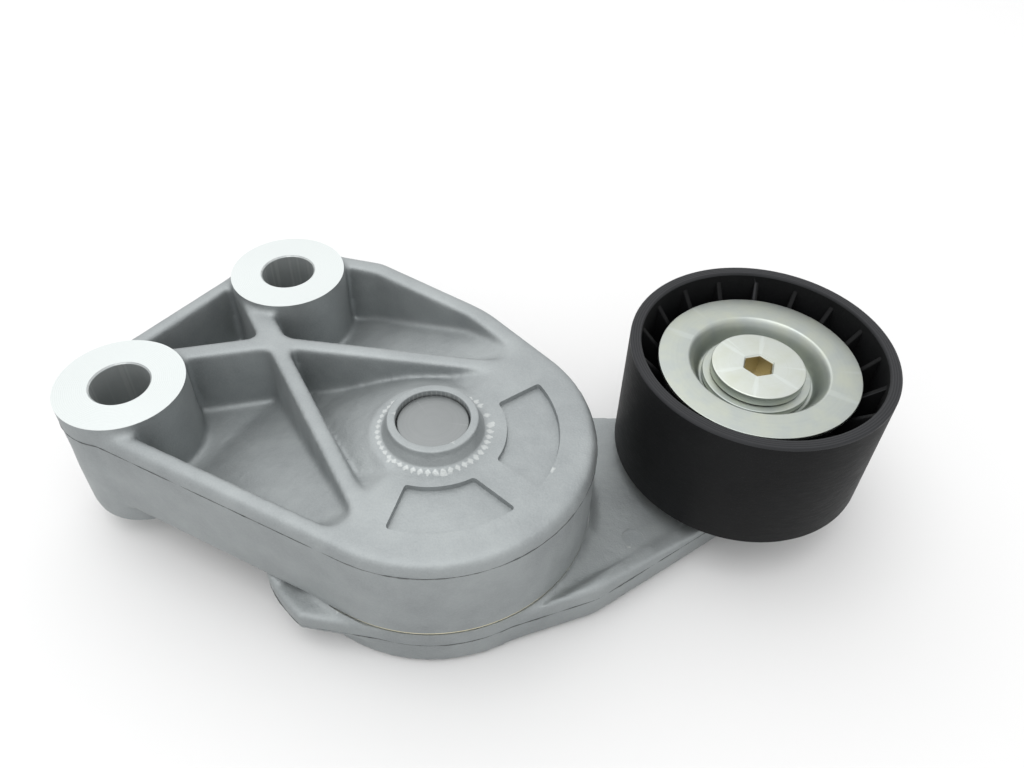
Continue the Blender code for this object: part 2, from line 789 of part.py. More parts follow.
def pulley_shell(material, parent):
    """Rim, web and hub moulded in one round the bearing, with radial ribs between them."""
    web_low, web_high = BEARING_Z - PULLEY_WEB / 2, BEARING_Z + PULLEY_WEB / 2
    lip_inner = BEARING_RADIUS - 1.2
    hub_low, hub_high = BEARING_LOW_Z - GAP, BEARING_HIGH_Z + GAP
    wall = RIM_INNER_RADIUS - 0.7
    shell = turned(
        "pulley_shell",
        [
            (RIM_INNER_RADIUS, PULLEY_TOP_Z),
            (PULLEY_RADIUS - PULLEY_EDGE, PULLEY_TOP_Z),
            (PULLEY_RADIUS, PULLEY_TOP_Z - PULLEY_EDGE),
            (PULLEY_RADIUS, PULLEY_BOTTOM_Z + PULLEY_EDGE),
            (PULLEY_RADIUS - PULLEY_EDGE, PULLEY_BOTTOM_Z),
            (RIM_INNER_RADIUS, PULLEY_BOTTOM_Z),
            (wall, web_low),
            (HUB_OUTER, web_low),
            (HUB_OUTER, hub_low - 0.7),
            (lip_inner, hub_low - 0.7),
            (lip_inner, hub_low),
            (HUB_INNER, hub_low),
            (HUB_INNER, hub_high),
            (lip_inner, hub_high),
            (lip_inner, hub_high + 0.7),
            (HUB_OUTER, hub_high + 0.7),
            (HUB_OUTER, web_high),
            (wall, web_high),
        ],
        steps=BIG_STEPS,
    )
    bm = bmesh.new()
    inner, outer = HUB_INNER + HUB_THICKNESS / 2, RIM_INNER_RADIUS + 0.6
    side = [
        (inner, hub_low),
        (outer, PULLEY_BOTTOM_Z + 2 * RIB_TOP_DROP),
        (outer, PULLEY_TOP_Z - RIB_TOP_DROP),
        (inner, hub_high),
    ]
    for number in range(PULLEY_RIBS):
        way = direction(PULLEY_RIB_PHASE + 360 * number / PULLEY_RIBS)
        across = Vector((-way.y, way.x)) * PULLEY_RIB_WIDTH / 2
        low_side = [Vector((*(way * r - across), z)) * MM for r, z in side]
        face = bm.faces.new([bm.verts.new(point) for point in low_side])
        raised = bmesh.ops.extrude_face_region(bm, geom=[face])["geom"]
        tips = [part for part in raised if isinstance(part, bmesh.types.BMVert)]
        bmesh.ops.translate(bm, verts=tips, vec=Vector((*(2 * across), 0)) * MM)
    ribs = add("pulley_ribs", mesh_from(bm, "pulley_ribs"))
    join(shell, ribs)
    ribs.parent = parent
    return keep(shell, material, parent)


def race(radius, side):
    """Points of a ball groove, from the top down, bulging towards side."""
    half = math.asin(min(RING_SHOULDER / RACE_RADIUS, 0.95))
    angles = [half + (math.pi - 2 * half) * step / 5 for step in range(6)]
    points = [(radius + side * RACE_RADIUS * math.sin(a), RACE_RADIUS * math.cos(a)) for a in angles]
    return [(r, BEARING_Z + z) for r, z in points]


def bearing(ring_material, ball_material, cage_material, seal_material, parents):
    arm_side, cage_side, pulley_side = parents
    inner_shoulder = BALL_CIRCLE - RING_SHOULDER
    outer_shoulder = BALL_CIRCLE + RING_SHOULDER
    low, high = BEARING_LOW_Z, BEARING_HIGH_Z
    inner = turned(
        "bearing_inner_ring",
        [(BEARING_BORE_RADIUS, high), (inner_shoulder, high)]
        + race(BALL_CIRCLE, -1)
        + [(inner_shoulder, low), (BEARING_BORE_RADIUS, low)],
    )
    outer = turned(
        "bearing_outer_ring",
        [(outer_shoulder, high), (BEARING_RADIUS, high), (BEARING_RADIUS, low), (outer_shoulder, low)]
        + race(BALL_CIRCLE, 1)[::-1],
        steps=BIG_STEPS,
    )
    keep(inner, ring_material, arm_side)
    keep(outer, ring_material, pulley_side)
    seal_inner, seal_outer = inner_shoulder + GAP, outer_shoulder - GAP
    front = ring("front_seal", seal_inner, seal_outer, high - SEAL - GAP, high - GAP)
    rear = ring("rear_seal", seal_inner, seal_outer, low + GAP, low + GAP + SEAL)
    keep(front, seal_material, pulley_side)
    keep(rear, seal_material, pulley_side)
    cage_low = BEARING_LOW_Z + GAP + SEAL + GAP
    cage = ring("ball_cage", BALL_CIRCLE - 1.1, BALL_CIRCLE + 1.1, cage_low, BEARING_Z + 2.2)
    bm = bmesh.new()
    for number in range(BALLS):
        place = direction(360 * number / BALLS) * BALL_CIRCLE
        spot = bmesh.ops.create_uvsphere(
            bm, u_segments=12, v_segments=8, radius=(BALL_RADIUS + GAP) * MM
        )["verts"]
        bmesh.ops.translate(bm, verts=spot, vec=Vector((*place, BEARING_Z)) * MM)
        ball_mesh = bmesh.new()
        bmesh.ops.create_uvsphere(ball_mesh, u_segments=12, v_segments=8, radius=BALL_RADIUS * MM)
        ball = add(f"ball_{number + 1}", mesh_from(ball_mesh, "ball"))
        ball.data.shade_smooth()
        ball.location = Vector((*place, BEARING_Z)) * MM
        keep(ball, ball_material, cage_side)
    pockets = add("cage_pockets", mesh_from(bm, "cage_pockets"))
    pockets.parent = cage_side
    keep(cut(cage, pockets), cage_material, cage_side)


def clamped_stack(zinc, steel, parent):
    """What the bolt clamps to the arm's post: both shields, the sleeve and the washer."""
    low, high = POST_TOP_Z + GAP, POST_TOP_Z + GAP + SHIELD
    rear = ring("rear_shield", THREAD_BORE, REAR_SHIELD_RADIUS, low, high)
    sleeve_outer = BEARING_BORE_RADIUS - GAP
    sleeve = ring("bearing_sleeve", THREAD_BORE, sleeve_outer, BEARING_LOW_Z, BEARING_HIGH_Z)
    floor_end = WASHER_RADIUS + 0.6
    top_z = SHIELD_Z + SHIELD + SHIELD_RISE
    curl = []
    for step in range(1, 5):
        share = step / 5
        lift = (1 - math.cos(math.pi * share)) / 2
        curl.append((floor_end + (SHIELD_CREST_RADIUS - floor_end) * share, SHIELD_RISE * lift))
    upper = [(r, SHIELD_Z + SHIELD + lift) for r, lift in curl]
    lower = [(r + 0.5, SHIELD_Z + lift) for r, lift in reversed(curl)]
    shield = turned(
        "dust_shield",
        [(THREAD_BORE, SHIELD_Z + SHIELD), (floor_end, SHIELD_Z + SHIELD)]
        + upper
        + [(SHIELD_CREST_RADIUS, top_z), (SHIELD_RADIUS, top_z), (SHIELD_RADIUS, top_z - SHIELD)]
        + [(SHIELD_CREST_RADIUS + 0.5, top_z - SHIELD)]
        + lower
        + [(floor_end + 0.5, SHIELD_Z), (THREAD_BORE, SHIELD_Z)],
        steps=BIG_STEPS,
    )
    washer = ring("bolt_washer", THREAD_BORE, WASHER_RADIUS, WASHER_Z, WASHER_Z + WASHER)
    keep(rear, zinc, parent)
    keep(sleeve, steel, parent)
    keep(shield, zinc, parent)
    keep(washer, zinc, parent)


def pulley_bolt(material, parent):
    top = HEAD_Z + BOLT_HEAD
    bolt = turned(
        "pulley_bolt",
        [
            (0, top),
            (BOLT_HEAD_RADIUS - 0.3, top),
            (BOLT_HEAD_RADIUS, top - 0.3),
            (BOLT_HEAD_RADIUS, HEAD_Z),
            (BOLT_RADIUS, HEAD_Z),
            (BOLT_RADIUS, BOLT_END_Z + 1),
            (BOLT_RADIUS - 1, BOLT_END_Z),
            (0, BOLT_END_Z),
        ],
    )
    corner = SOCKET_FLATS / math.sqrt(3)
    outline = arc(corner, 0, 300, 5)
    socket = prism("bolt_socket", outline, top - SOCKET_DEPTH, top + THROUGH)
    socket.parent = parent
    return keep(cut(bolt, socket), material, parent)


# --- Assembly ------------------------------------------------------------------------


def build():
    aluminium = finish("cast_aluminium", (0.50, 0.52, 0.53), 0.42, 1.0)
    steel = finish("machined_steel", (0.42, 0.43, 0.44), 0.38, 1.0)
    bearing_steel = finish("bearing_steel", (0.62, 0.63, 0.65), 0.18, 1.0)
    spring_steel = finish("spring_steel", (0.12, 0.12, 0.13), 0.45, 1.0)
    zinc = finish("zinc_plate", (0.78, 0.80, 0.76), 0.33, 1.0)
    black_nylon = finish("black_nylon", (0.018, 0.018, 0.019), 0.48, 0.0)
    pale_nylon = finish("pale_nylon", (0.70, 0.66, 0.48), 0.50, 0.0)
    bronze = finish("bronze_bush", (0.46, 0.32, 0.16), 0.40, 1.0)
    friction = finish("friction_nylon", (0.16, 0.13, 0.10), 0.70, 0.0)
    seal_rubber = finish("seal_rubber", (0.03, 0.02, 0.02), 0.60, 0.0)

    arm_pivot = axis_empty("arm_pivot", 0.0)
    pulley_mount = axis_empty("pulley_mount", ARM_LENGTH, arm_pivot)
    pulley_spin = axis_empty("pulley_spin", 0.0, pulley_mount)
    cage_spin = axis_empty("cage_spin", 0.0, pulley_mount)

    bracket_casting(aluminium)
    pivot_pin(steel)
    torsion_spring(spring_steel)
    seam = ring(
        "seam_ring",
        CAVITY_RADIUS + GAP,
        CASE_RADIUS - GAP,
        SEAM_Z - SEAM_RING / 2,
        SEAM_Z + SEAM_RING / 2,
        steps=BIG_STEPS,
    )
    keep(seam, pale_nylon, arm_pivot)
    arm_casting(aluminium, arm_pivot)
    pivot_pieces(bronze, pale_nylon, arm_pivot)
    damper(pale_nylon, friction, steel, arm_pivot)
    pulley_shell(black_nylon, pulley_spin)
    parents = pulley_mount, cage_spin, pulley_spin
    bearing(bearing_steel, bearing_steel, steel, seal_rubber, parents)
    clamped_stack(zinc, steel, pulley_mount)
    pulley_bolt(zinc, pulley_mount)


build()
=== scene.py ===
# %% [markdown]
# # Belt tensioner idler
# An engine's drive belt is kept tight by a part like this. A cast bracket is bolted to the engine, a coil
# spring inside it turns a cast arm, and the arm presses a smooth pulley against the belt. The solids that
# make it work are loaded first. This lesson then gives each of them the shape of its real making: castings
# with soft edges that were machined afterwards, turned steel pieces, and a moulded pulley.

# %% Load the solids
import math

import bmesh
import bpy
from mathutils import Matrix, Vector


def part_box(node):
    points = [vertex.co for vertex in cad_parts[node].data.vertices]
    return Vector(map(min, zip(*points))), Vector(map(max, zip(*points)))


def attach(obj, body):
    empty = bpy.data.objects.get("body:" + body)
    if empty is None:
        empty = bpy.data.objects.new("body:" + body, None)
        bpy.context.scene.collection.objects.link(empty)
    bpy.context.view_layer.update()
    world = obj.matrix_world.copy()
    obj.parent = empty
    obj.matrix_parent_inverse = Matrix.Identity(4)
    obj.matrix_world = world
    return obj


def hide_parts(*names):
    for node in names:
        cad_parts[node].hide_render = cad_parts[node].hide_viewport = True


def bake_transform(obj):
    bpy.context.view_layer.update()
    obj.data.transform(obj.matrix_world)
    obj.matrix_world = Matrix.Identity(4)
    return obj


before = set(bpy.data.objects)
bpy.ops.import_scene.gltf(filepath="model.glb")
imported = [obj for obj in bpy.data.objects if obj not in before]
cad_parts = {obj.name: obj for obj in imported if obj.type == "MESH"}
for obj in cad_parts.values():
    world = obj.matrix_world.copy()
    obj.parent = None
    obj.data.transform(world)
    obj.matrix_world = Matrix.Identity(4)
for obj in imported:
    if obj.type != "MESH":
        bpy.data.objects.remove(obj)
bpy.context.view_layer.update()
MM = 0.001

# %% [markdown]
# Outer sizes are read from the solids' boxes. A box gives a turned piece's axis, its radius and its two
# ends. The bores, the bosses and other inner sizes don't show in a box, so they are written here in
# millimetres.


# %% Measure the solids
def span(node):
    """A node's box in millimetres: middle in plan, half width in X, lowest and highest level."""
    low, high = (Vector(corner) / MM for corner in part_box(node))
    return (low + high).xy / 2, (high.x - low.x) / 2, low.z, high.z


PIVOT = Vector((0.0, 0.0))
AXLE, PULLEY_RADIUS, PULLEY_LOW, PULLEY_HIGH = span("pulley_shell")
PIN_HEAD_RADIUS, PIN_TOP = span("pivot_pin")[1], span("pivot_pin")[3]
RING_TOP = span("bracket_casting")[3]
SEAM_RADIUS, SEAM_LOW, SEAM_HIGH = span("seam_ring")[1:]
GAP = 0.3
CASE_BOTTOM, CUP_TOP = SEAM_HIGH + GAP, SEAM_LOW - GAP
CASE_RADIUS = SEAM_RADIUS + GAP
CASE_WALL = 5.15
BORE_RADIUS = 8.45
BOSS_FACE_RADIUS = 18.5
BOSS_LEFT = Vector((-85.75, 33.46))
BOSS_RIGHT = Vector((-36.0, 77.5))
BOSS_FACE = 49.7
BOSS_SEAT = 9.0
FACE = 46.9
print(f"pulley axis at x = {AXLE.x:.1f} mm, radius {PULLEY_RADIUS:.1f} mm")

# %% [markdown]
# ## Shapes
# Almost everything here is turned: a profile spun round an axis. A real edge is never perfectly sharp, so
# `soften` rounds the corners of a profile before it is spun, which costs a few more points and no modifier.


# %% Turn a softened profile
def soften(points, radius, steps=4):
    """Rounds each corner of a closed (r, z) outline, except corners on the axis."""
    rounded = []
    for index, here in enumerate(points):
        here = Vector(here)
        back = Vector(points[index - 1]) - here
        ahead = Vector(points[(index + 1) % len(points)]) - here
        reach = min(radius, back.length * 0.45, ahead.length * 0.45)
        if here.x == 0 or reach < 0.01:
            rounded.append(here)
            continue
        start = here + back.normalized() * reach
        end = here + ahead.normalized() * reach
        for step in range(steps + 1):
            share = step / steps
            rounded.append(start.lerp(here, share).lerp(here.lerp(end, share), share))
    return rounded


def new_object(name, bm):
    bmesh.ops.recalc_face_normals(bm, faces=bm.faces)
    mesh = bpy.data.meshes.new(name)
    bm.to_mesh(mesh)
    bm.free()
    obj = bpy.data.objects.new(name, mesh)
    bpy.context.scene.collection.objects.link(obj)
    return obj


def turned(name, points, centre=PIVOT, steps=144, soft=0.25, arc=(0.0, 360.0)):
    """Spins an (r, z) outline in millimetres about a vertical axis. A short arc gets closed ends."""
    bm = bmesh.new()
    outline = soften(points, soft) if soft else [Vector(point) for point in points]
    start, end = (math.radians(angle) for angle in arc)
    turn = Matrix.Rotation(start, 4, "Z")
    verts = [bm.verts.new(turn @ Vector((p.x, 0, p.y)) * MM) for p in outline]
    whole = arc == (0.0, 360.0)
    if whole:
        loop = [bm.edges.new((a, b)) for a, b in zip(verts, verts[1:] + verts[:1])]
        geometry = verts + loop
    else:
        geometry = [bm.faces.new(verts)]
    bmesh.ops.spin(
        bm, geom=geometry, axis=(0, 0, 1), cent=(0, 0, 0), angle=end - start, steps=steps, use_merge=whole
    )
    bmesh.ops.remove_doubles(bm, verts=bm.verts, dist=0.000002)
    bmesh.ops.translate(bm, verts=bm.verts, vec=Vector((*centre, 0)) * MM)
    return new_object(name, bm)


def drum(name, radius, low, high, centre=PIVOT, steps=96):
    return turned(name, [(0, high), (radius, high), (radius, low), (0, low)], centre, steps, soft=0)


def shade(obj, angle=35.0):
    """Smooth shading that breaks at the edges sharper than angle."""
    obj.data.shade_smooth()
    obj.data.set_sharp_from_angle(angle=math.radians(angle))
    return obj


print("a softened square has", len(soften([(1, 1), (2, 1), (2, 0), (1, 0)], 0.2)), "points")

# %% [markdown]
# ## Node graphs
# Shader maths reads best as maths. A `Wire` is one output socket, and adding or multiplying wires adds the
# Math nodes. Every other node, in a material or in a Geometry Nodes tree, comes from `Graph.node`.


# %% Wires and graphs
class Wire:
    """An output socket that sums, products and comparisons can be written with."""

    def __init__(self, graph, socket):
        self.graph, self.socket = graph, socket

    def __add__(self, other):
        return self.graph.maths("ADD", self, other)

    def __sub__(self, other):
        return self.graph.maths("SUBTRACT", self, other)

    def __rsub__(self, other):
        return self.graph.maths("SUBTRACT", other, self)

    def __mul__(self, other):
        return self.graph.maths("MULTIPLY", self, other)

    def __rtruediv__(self, other):
        return self.graph.maths("DIVIDE", other, self)

    def __gt__(self, other):
        return self.graph.maths("GREATER_THAN", self, other)

    def __lt__(self, other):
        return self.graph.maths("LESS_THAN", self, other)

    __radd__ = __add__
    __rmul__ = __mul__


class Graph:
    """A node tree, and short ways to add to it."""

    def __init__(self, tree):
        self.tree = tree

    def node(self, kind, settings=None, sockets=None, output=0):
        """Adds a node: its settings first, then the value or the wire of each socket named or numbered."""
        node = self.tree.nodes.new(kind)
        for name, value in (settings or {}).items():
            if name == "stops":
                while len(node.color_ramp.elements) < len(value):
                    node.color_ramp.elements.new(1.0)
                for element, (position, level) in zip(node.color_ramp.elements, value):
                    element.position = position
                    element.color = (level, level, level, 1.0)
            else:
                setattr(node, name, value)
        for name, value in (sockets or {}).items():
            self.feed(node.inputs[name], value)
        return Wire(self, node.outputs[output])

    def feed(self, socket, value):
        if isinstance(value, Wire):
            self.tree.links.new(value.socket, socket)
        else:
            socket.default_value = value

    def maths(self, operation, first, second=0.0, clamp=False):
        settings = {"operation": operation, "use_clamp": clamp}
        return self.node("ShaderNodeMath", settings, {0: first, 1: second})


print("node graphs ready")

# %% [markdown]
# A finish is a material with one Principled shader. It knows where a point is on the piece, how far that
# point is from an upright axis, and how to mix two colours. Numbers that are the same all over are set on
# the shader itself.


# %% Finishes
EDGE_GAIN = 3.0


class Finish(Graph):
    """A Principled material whose patterns are laid in Object coordinates, in millimetres."""

    def __init__(self, name, **constants):
        self.material = bpy.data.materials.new(name)
        self.material.use_nodes = True
        super().__init__(self.material.node_tree)
        self.shader = self.tree.nodes["Principled BSDF"]
        for socket, value in constants.items():
            self.shader.inputs[socket.replace("_", " ")].default_value = value
        metres = self.node("ShaderNodeTexCoord", output="Object")
        self.place = self.node(
            "ShaderNodeVectorMath", {"operation": "SCALE"}, {0: metres, "Scale": 1 / MM}
        )

    def axis(self, name):
        return self.node("ShaderNodeSeparateXYZ", None, {0: self.place}, output=name)

    def distance(self, centre):
        """Distance in plan from an upright axis."""
        across, along = self.axis("X") - centre[0], self.axis("Y") - centre[1]
        return self.maths("SQRT", across * across + along * along)

    def stretched(self, *scale):
        """The place on the piece, scaled along X, Y and Z."""
        sockets = {"Vector": self.place, "Scale": scale}
        return self.node("ShaderNodeMapping", {"vector_type": "POINT"}, sockets)

    def noise(self, size, detail=2.0, roughness=0.5, place=None):
        """Cloudy values about 0.5, with blotches of about size millimetres."""
        sockets = {"Vector": place or self.place, "Scale": 1 / size, "Detail": detail, "Roughness": roughness}
        return self.node("ShaderNodeTexNoise", None, sockets)

    def ramp(self, value, *stops):
        return self.node("ShaderNodeValToRGB", {"stops": stops}, {0: value})

    def mix(self, factor, first, second):
        colors = [c if isinstance(c, Wire) else (*c, 1.0) for c in (first, second)]
        sockets = {0: factor, 6: colors[0], 7: colors[1]}
        return self.node("ShaderNodeMix", {"data_type": "RGBA"}, sockets, output=2)

    def edges(self):
        """0 in hollows, 0.5 on flat ground and 1 on edges."""
        pointed = self.node("ShaderNodeNewGeometry", output="Pointiness")
        return (pointed - 0.5) * EDGE_GAIN + 0.5

    def bump(self, height, depth):
        """A Bump node: depth is in millimetres for a height of 1."""
        sockets = {"Strength": 1.0, "Distance": depth * MM, "Height": height}
        return self.node("ShaderNodeBump", None, sockets)

    def paint(self, **values):
        for socket, value in values.items():
            self.feed(self.shader.inputs[socket.replace("_", " ")], value)
        return self.material


print("finish class ready")

# %% [markdown]
# ## Cast aluminium
# A pressure die casting comes out satin grey. Its skin has broad, faint clouds where the metal chilled, and
# a grain finer than a millimetre. The edges are painted lighter, partly for tumbling polish and partly as a
# painted highlight, and the hollows are painted darker as painted shade. The boss faces
# and bores were machined afterwards, so they are nearly white and carry fine rings from the cutter.


# %% Cast aluminium finish
CAST_DULL = (0.215, 0.232, 0.238)
CAST_PALE = (0.315, 0.337, 0.340)
CAST_EDGE = (0.42, 0.44, 0.435)
CUT_FACE = (0.52, 0.55, 0.545)


def cast_aluminium(name, machined):
    """The casting's skin, with machined(finish) as the mask of what was cut afterwards."""
    f = Finish(name, Metallic=0.62)
    cloud = f.ramp(f.noise(26.0, 4.0, 0.6), (0.30, 0.0), (0.70, 1.0))
    stain = f.ramp(f.noise(7.0, 5.0, 0.65), (0.35, 0.0), (0.75, 1.0))
    grain = f.noise(0.55, 3.0, 0.6)
    skin = f.mix(cloud * 0.7 + stain * 0.3, CAST_DULL, CAST_PALE)
    skin = f.mix(f.ramp(grain, (0.35, 0.0), (0.75, 1.0)) * 0.16, skin, CAST_EDGE)
    cut, rings, flat = machined(f)
    edge = f.edges() * (1.0 - flat) + flat * 0.55
    # Edges are painted lighter: partly tumbling polish, partly a painted highlight.
    skin = f.mix(f.ramp(edge, (0.62, 0.0), (0.86, 1.0)) * 0.75, skin, CAST_EDGE)
    # Hollows are painted darker towards CAST_DULL: painted shade.
    skin = f.mix(f.ramp(edge, (0.22, 1.0), (0.48, 0.0)) * 0.5, skin, CAST_DULL)
    color = f.mix(cut, skin, f.mix(rings * 0.12, CUT_FACE, CAST_PALE))
    rough = 0.50 + stain * 0.08 - f.ramp(edge, (0.62, 0.0), (0.86, 1.0)) * 0.14
    rough = rough * (1.0 - cut) + (0.34 + rings * 0.05) * cut
    height = grain * 0.6 + f.noise(2.2, 2.0) * 0.9 + f.noise(9.0, 2.0) * 1.5
    height = height * (1.0 - cut * 0.85) + rings * cut * 0.3
    return f.paint(Base_Color=color, Roughness=rough, Normal=f.bump(height, 0.10))


def band(value, low, high):
    return (value > low) * (value < high)


def cutter_rings(f, centre, pitch=0.55):
    """Fine rings round an axis, uneven like the marks of a facing tool."""
    reach = f.distance(centre) + f.noise(14.0) * 0.8
    return f.maths("SINE", reach * (math.tau / pitch)) * 0.5 + 0.5


LEVEL_SLACK = 0.05


def bracket_machining(f):
    level = f.axis("Z")
    left, right = f.distance(BOSS_LEFT), f.distance(BOSS_RIGHT)
    near_left = left < 30.0
    bores = (left < BORE_RADIUS + 0.6) + (right < BORE_RADIUS + 0.6)
    faces = band(level, BOSS_FACE - LEVEL_SLACK, BOSS_FACE + LEVEL_SLACK) + (level < BOSS_SEAT + LEVEL_SLACK)
    rings = cutter_rings(f, BOSS_LEFT) * near_left + cutter_rings(f, BOSS_RIGHT) * (1.0 - near_left)
    cut = f.maths("ADD", faces * ((left < 20.0) + (right < 20.0)), bores * 0.35, clamp=True)
    sunk = band(level, FACE - 1.6, FACE - 1.4) * band(f.distance(PIVOT), 20.0, 36.5)
    return cut, rings, sunk


def arm_machining(f):
    level = f.axis("Z")
    post = f.distance(AXLE)
    cut = (post < 13.3) * (level > POST_TOP - LEVEL_SLACK)
    return cut, cutter_rings(f, AXLE), cut


POST_TOP = span("rear_shield")[2] - GAP
bracket_skin = cast_aluminium("cast_aluminium_bracket", bracket_machining)
arm_skin = cast_aluminium("cast_aluminium_arm", arm_machining)
print("cast finishes:", bracket_skin.name, arm_skin.name)

# %% [markdown]
# ## The bracket
# A casting is easiest made as the foundry makes it. The plain solid is copied, and the places that will be
# machined get extra metal. A voxel remesh then fuses everything, smoothing rounds every corner inside and
# out, and Booleans machine the faces and bores back to size, which leaves them crisp.


# %% Casting helpers
VOXEL = 0.86
FILLET_PASSES = 11


def copy_of(node):
    """A welded copy of a solid's mesh."""
    bm = bmesh.new()
    bm.from_mesh(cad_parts[node].data)
    bmesh.ops.remove_doubles(bm, verts=bm.verts, dist=0.000004)
    return new_object(node + "_blank", bm)


def absorb(blank, *extras):
    """Puts extra closed shells into the blank's mesh, for the remesh to fuse."""
    bm = bmesh.new()
    bm.from_mesh(blank.data)
    for extra in extras:
        bm.from_mesh(extra.data)
        bpy.data.objects.remove(extra, do_unlink=True)
    bm.to_mesh(blank.data)
    bm.free()


def apply_modifiers(obj, name):
    """Makes the evaluated object into a plain mesh object, and removes the old one."""
    bpy.context.view_layer.update()
    graph = bpy.context.evaluated_depsgraph_get()
    mesh = bpy.data.meshes.new_from_object(obj.evaluated_get(graph))
    bpy.data.objects.remove(obj, do_unlink=True)
    mesh.name = name
    made = bpy.data.objects.new(name, mesh)
    bpy.context.scene.collection.objects.link(made)
    return made


def cast(blank, name):
    """Fuses a blank and rounds its corners."""
    remesh = blank.modifiers.new("fuse", "REMESH")
    remesh.mode = "VOXEL"
    remesh.voxel_size = VOXEL * MM
    smooth = blank.modifiers.new("fillets", "SMOOTH")
    smooth.factor = 0.5
    smooth.iterations = FILLET_PASSES
    return apply_modifiers(blank, name)


def machine(casting, cuts, adds=(), name=None):
    """Adds, then cuts, with the fast solver for closed meshes."""
    tools = [(tool, "UNION") for tool in adds] + [(tool, "DIFFERENCE") for tool in cuts]
    for tool, operation in tools:
        step = casting.modifiers.new(tool.name, "BOOLEAN")
        step.operation = operation
        step.solver = "MANIFOLD"
        step.object = tool
    made = apply_modifiers(casting, name or casting.name)
    for tool, _ in tools:
        bpy.data.objects.remove(tool, do_unlink=True)
    return made


def dress(obj, material, body, slot, *nodes):
    """The finish, the body that it rides on, and the solids that it stands for."""
    obj.data.materials.clear()
    obj.data.materials.append(material)
    for polygon in obj.data.polygons:
        polygon.material_index = 0
    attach(obj, body)
    if nodes:
        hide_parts(*nodes)
    print(f"{obj.name}: {len(obj.data.polygons)} faces on {body}")
    return obj


# %% [markdown]
# The two shallow recesses in the face were filled for casting here, and are sunk again afterwards with
# tools whose sides lean a little, as they do on a die so that the casting comes out. The ring round the
# pivot is turned.


# %% The recesses and the ring on the face
RECESS_DEPTH = 1.5
RECESS_RADII = (21.0, 35.5)
ARC_STEPS = 24
RECESSES = (((-43.6, 16.4), (-47.8, 18.9)), ((-119.8, -69.0), (-119.4, -63.1)))


def arc_points(radius, start, end, steps=ARC_STEPS):
    angles = [math.radians(start + (end - start) * step / steps) for step in range(steps + 1)]
    return [Vector((radius * math.cos(angle), radius * math.sin(angle))) for angle in angles]


def sector(name, radii, inner_arc, outer_arc, low, high, lean=0.0, soft=0.0):
    """A slice of a ring about the pivot, its top wider than its foot by lean."""
    bm = bmesh.new()
    outline = arc_points(radii[1], *outer_arc) + arc_points(radii[0], *reversed(inner_arc))
    face = bm.faces.new([bm.verts.new((p.x * MM, p.y * MM, low * MM)) for p in outline])
    corners = [face.verts[index] for index in (0, ARC_STEPS, ARC_STEPS + 1, 2 * ARC_STEPS + 1)]
    raised = bmesh.ops.extrude_face_region(bm, geom=[face])["geom"]
    tops = [part for part in raised if isinstance(part, bmesh.types.BMVert)]
    middle = sum((vert.co for vert in tops), Vector()) / len(tops)
    for vert in tops:
        outwards = (vert.co - middle).xy.normalized()
        vert.co.xy += outwards * lean * MM
        vert.co.z = high * MM
    if soft:
        meeting = [edge for vert in corners for edge in vert.link_edges]
        upright = [e for e in meeting if abs(e.verts[0].co.z - e.verts[1].co.z) > 0.5 * MM]
        bmesh.ops.bevel(bm, geom=upright, offset=soft * MM, segments=4, profile=0.5, affect="EDGES")
    return new_object(name, bm)


def face_ring():
    """The turned ring on the face, with the bore that shows the pin's end."""
    outline = [
        (10.5, RING_TOP),
        (12.83, RING_TOP),
        (13.2, RING_TOP - 1.6),
        (14.5, FACE + 0.35),
        (16.2, FACE - 0.12),
        (16.2, FACE - 2.0),
        (10.5, FACE - 2.0),
    ]
    return turned("face_ring", outline, soft=0.45)


# %% [markdown]
# Round the pivot the casting is thick. From there the floor of its pockets falls away as a low cone that
# runs into one slanted plane. Both are convex, so each is a block trimmed by planes, and the remesh blends
# them.


# %% The rising floor
FLOOR_SLOPE = Vector((0.245, -0.222))
FLOOR_AT_PIVOT = 45.7
BED_SLOPE = Vector((0.328, -0.159))
BED_AT_PIVOT = 39.4
BED_LOW = 23.0
CONE_TOP_RADIUS = 17.0
CONE_SLOPE = 0.6
FLOOR_RADIUS = CASE_RADIUS - 3.0
BOSS_CORE_RADIUS = 14.5
HULL_MIDDLE = Vector((-0.04, 0.015))


def trimmed(bm, level, slope, keep_below):
    """Cuts a closed convex mesh by the plane z = level + slope.(x, y), and closes it again."""
    normal = Vector((-slope.x, -slope.y, 1.0)).normalized()
    bmesh.ops.bisect_plane(
        bm,
        geom=bm.verts[:] + bm.edges[:] + bm.faces[:],
        plane_co=Vector((0, 0, level)) * MM,
        plane_no=normal,
        clear_outer=keep_below,
        clear_inner=not keep_below,
    )
    rim = [edge for edge in bm.edges if edge.is_boundary]
    if rim:
        bmesh.ops.holes_fill(bm, edges=rim, sides=0)


def plan_hull(circles, steps=48):
    """The convex outline round some circles, given as (centre, radius)."""
    bm = bmesh.new()
    for centre, radius in circles:
        for step in range(steps):
            angle = math.tau * step / steps
            spot = Vector((centre.x + radius * math.cos(angle), centre.y + radius * math.sin(angle), 0))
            bm.verts.new(spot * MM)
    hull = bmesh.ops.convex_hull(bm, input=bm.verts[:])
    bmesh.ops.delete(bm, geom=list({*hull["geom_interior"], *hull["geom_unused"]}), context="VERTS")
    around = [v.co.xy for v in bm.verts]
    around.sort(key=lambda p: math.atan2(p.y - HULL_MIDDLE.y, p.x - HULL_MIDDLE.x))
    bm.free()
    return around


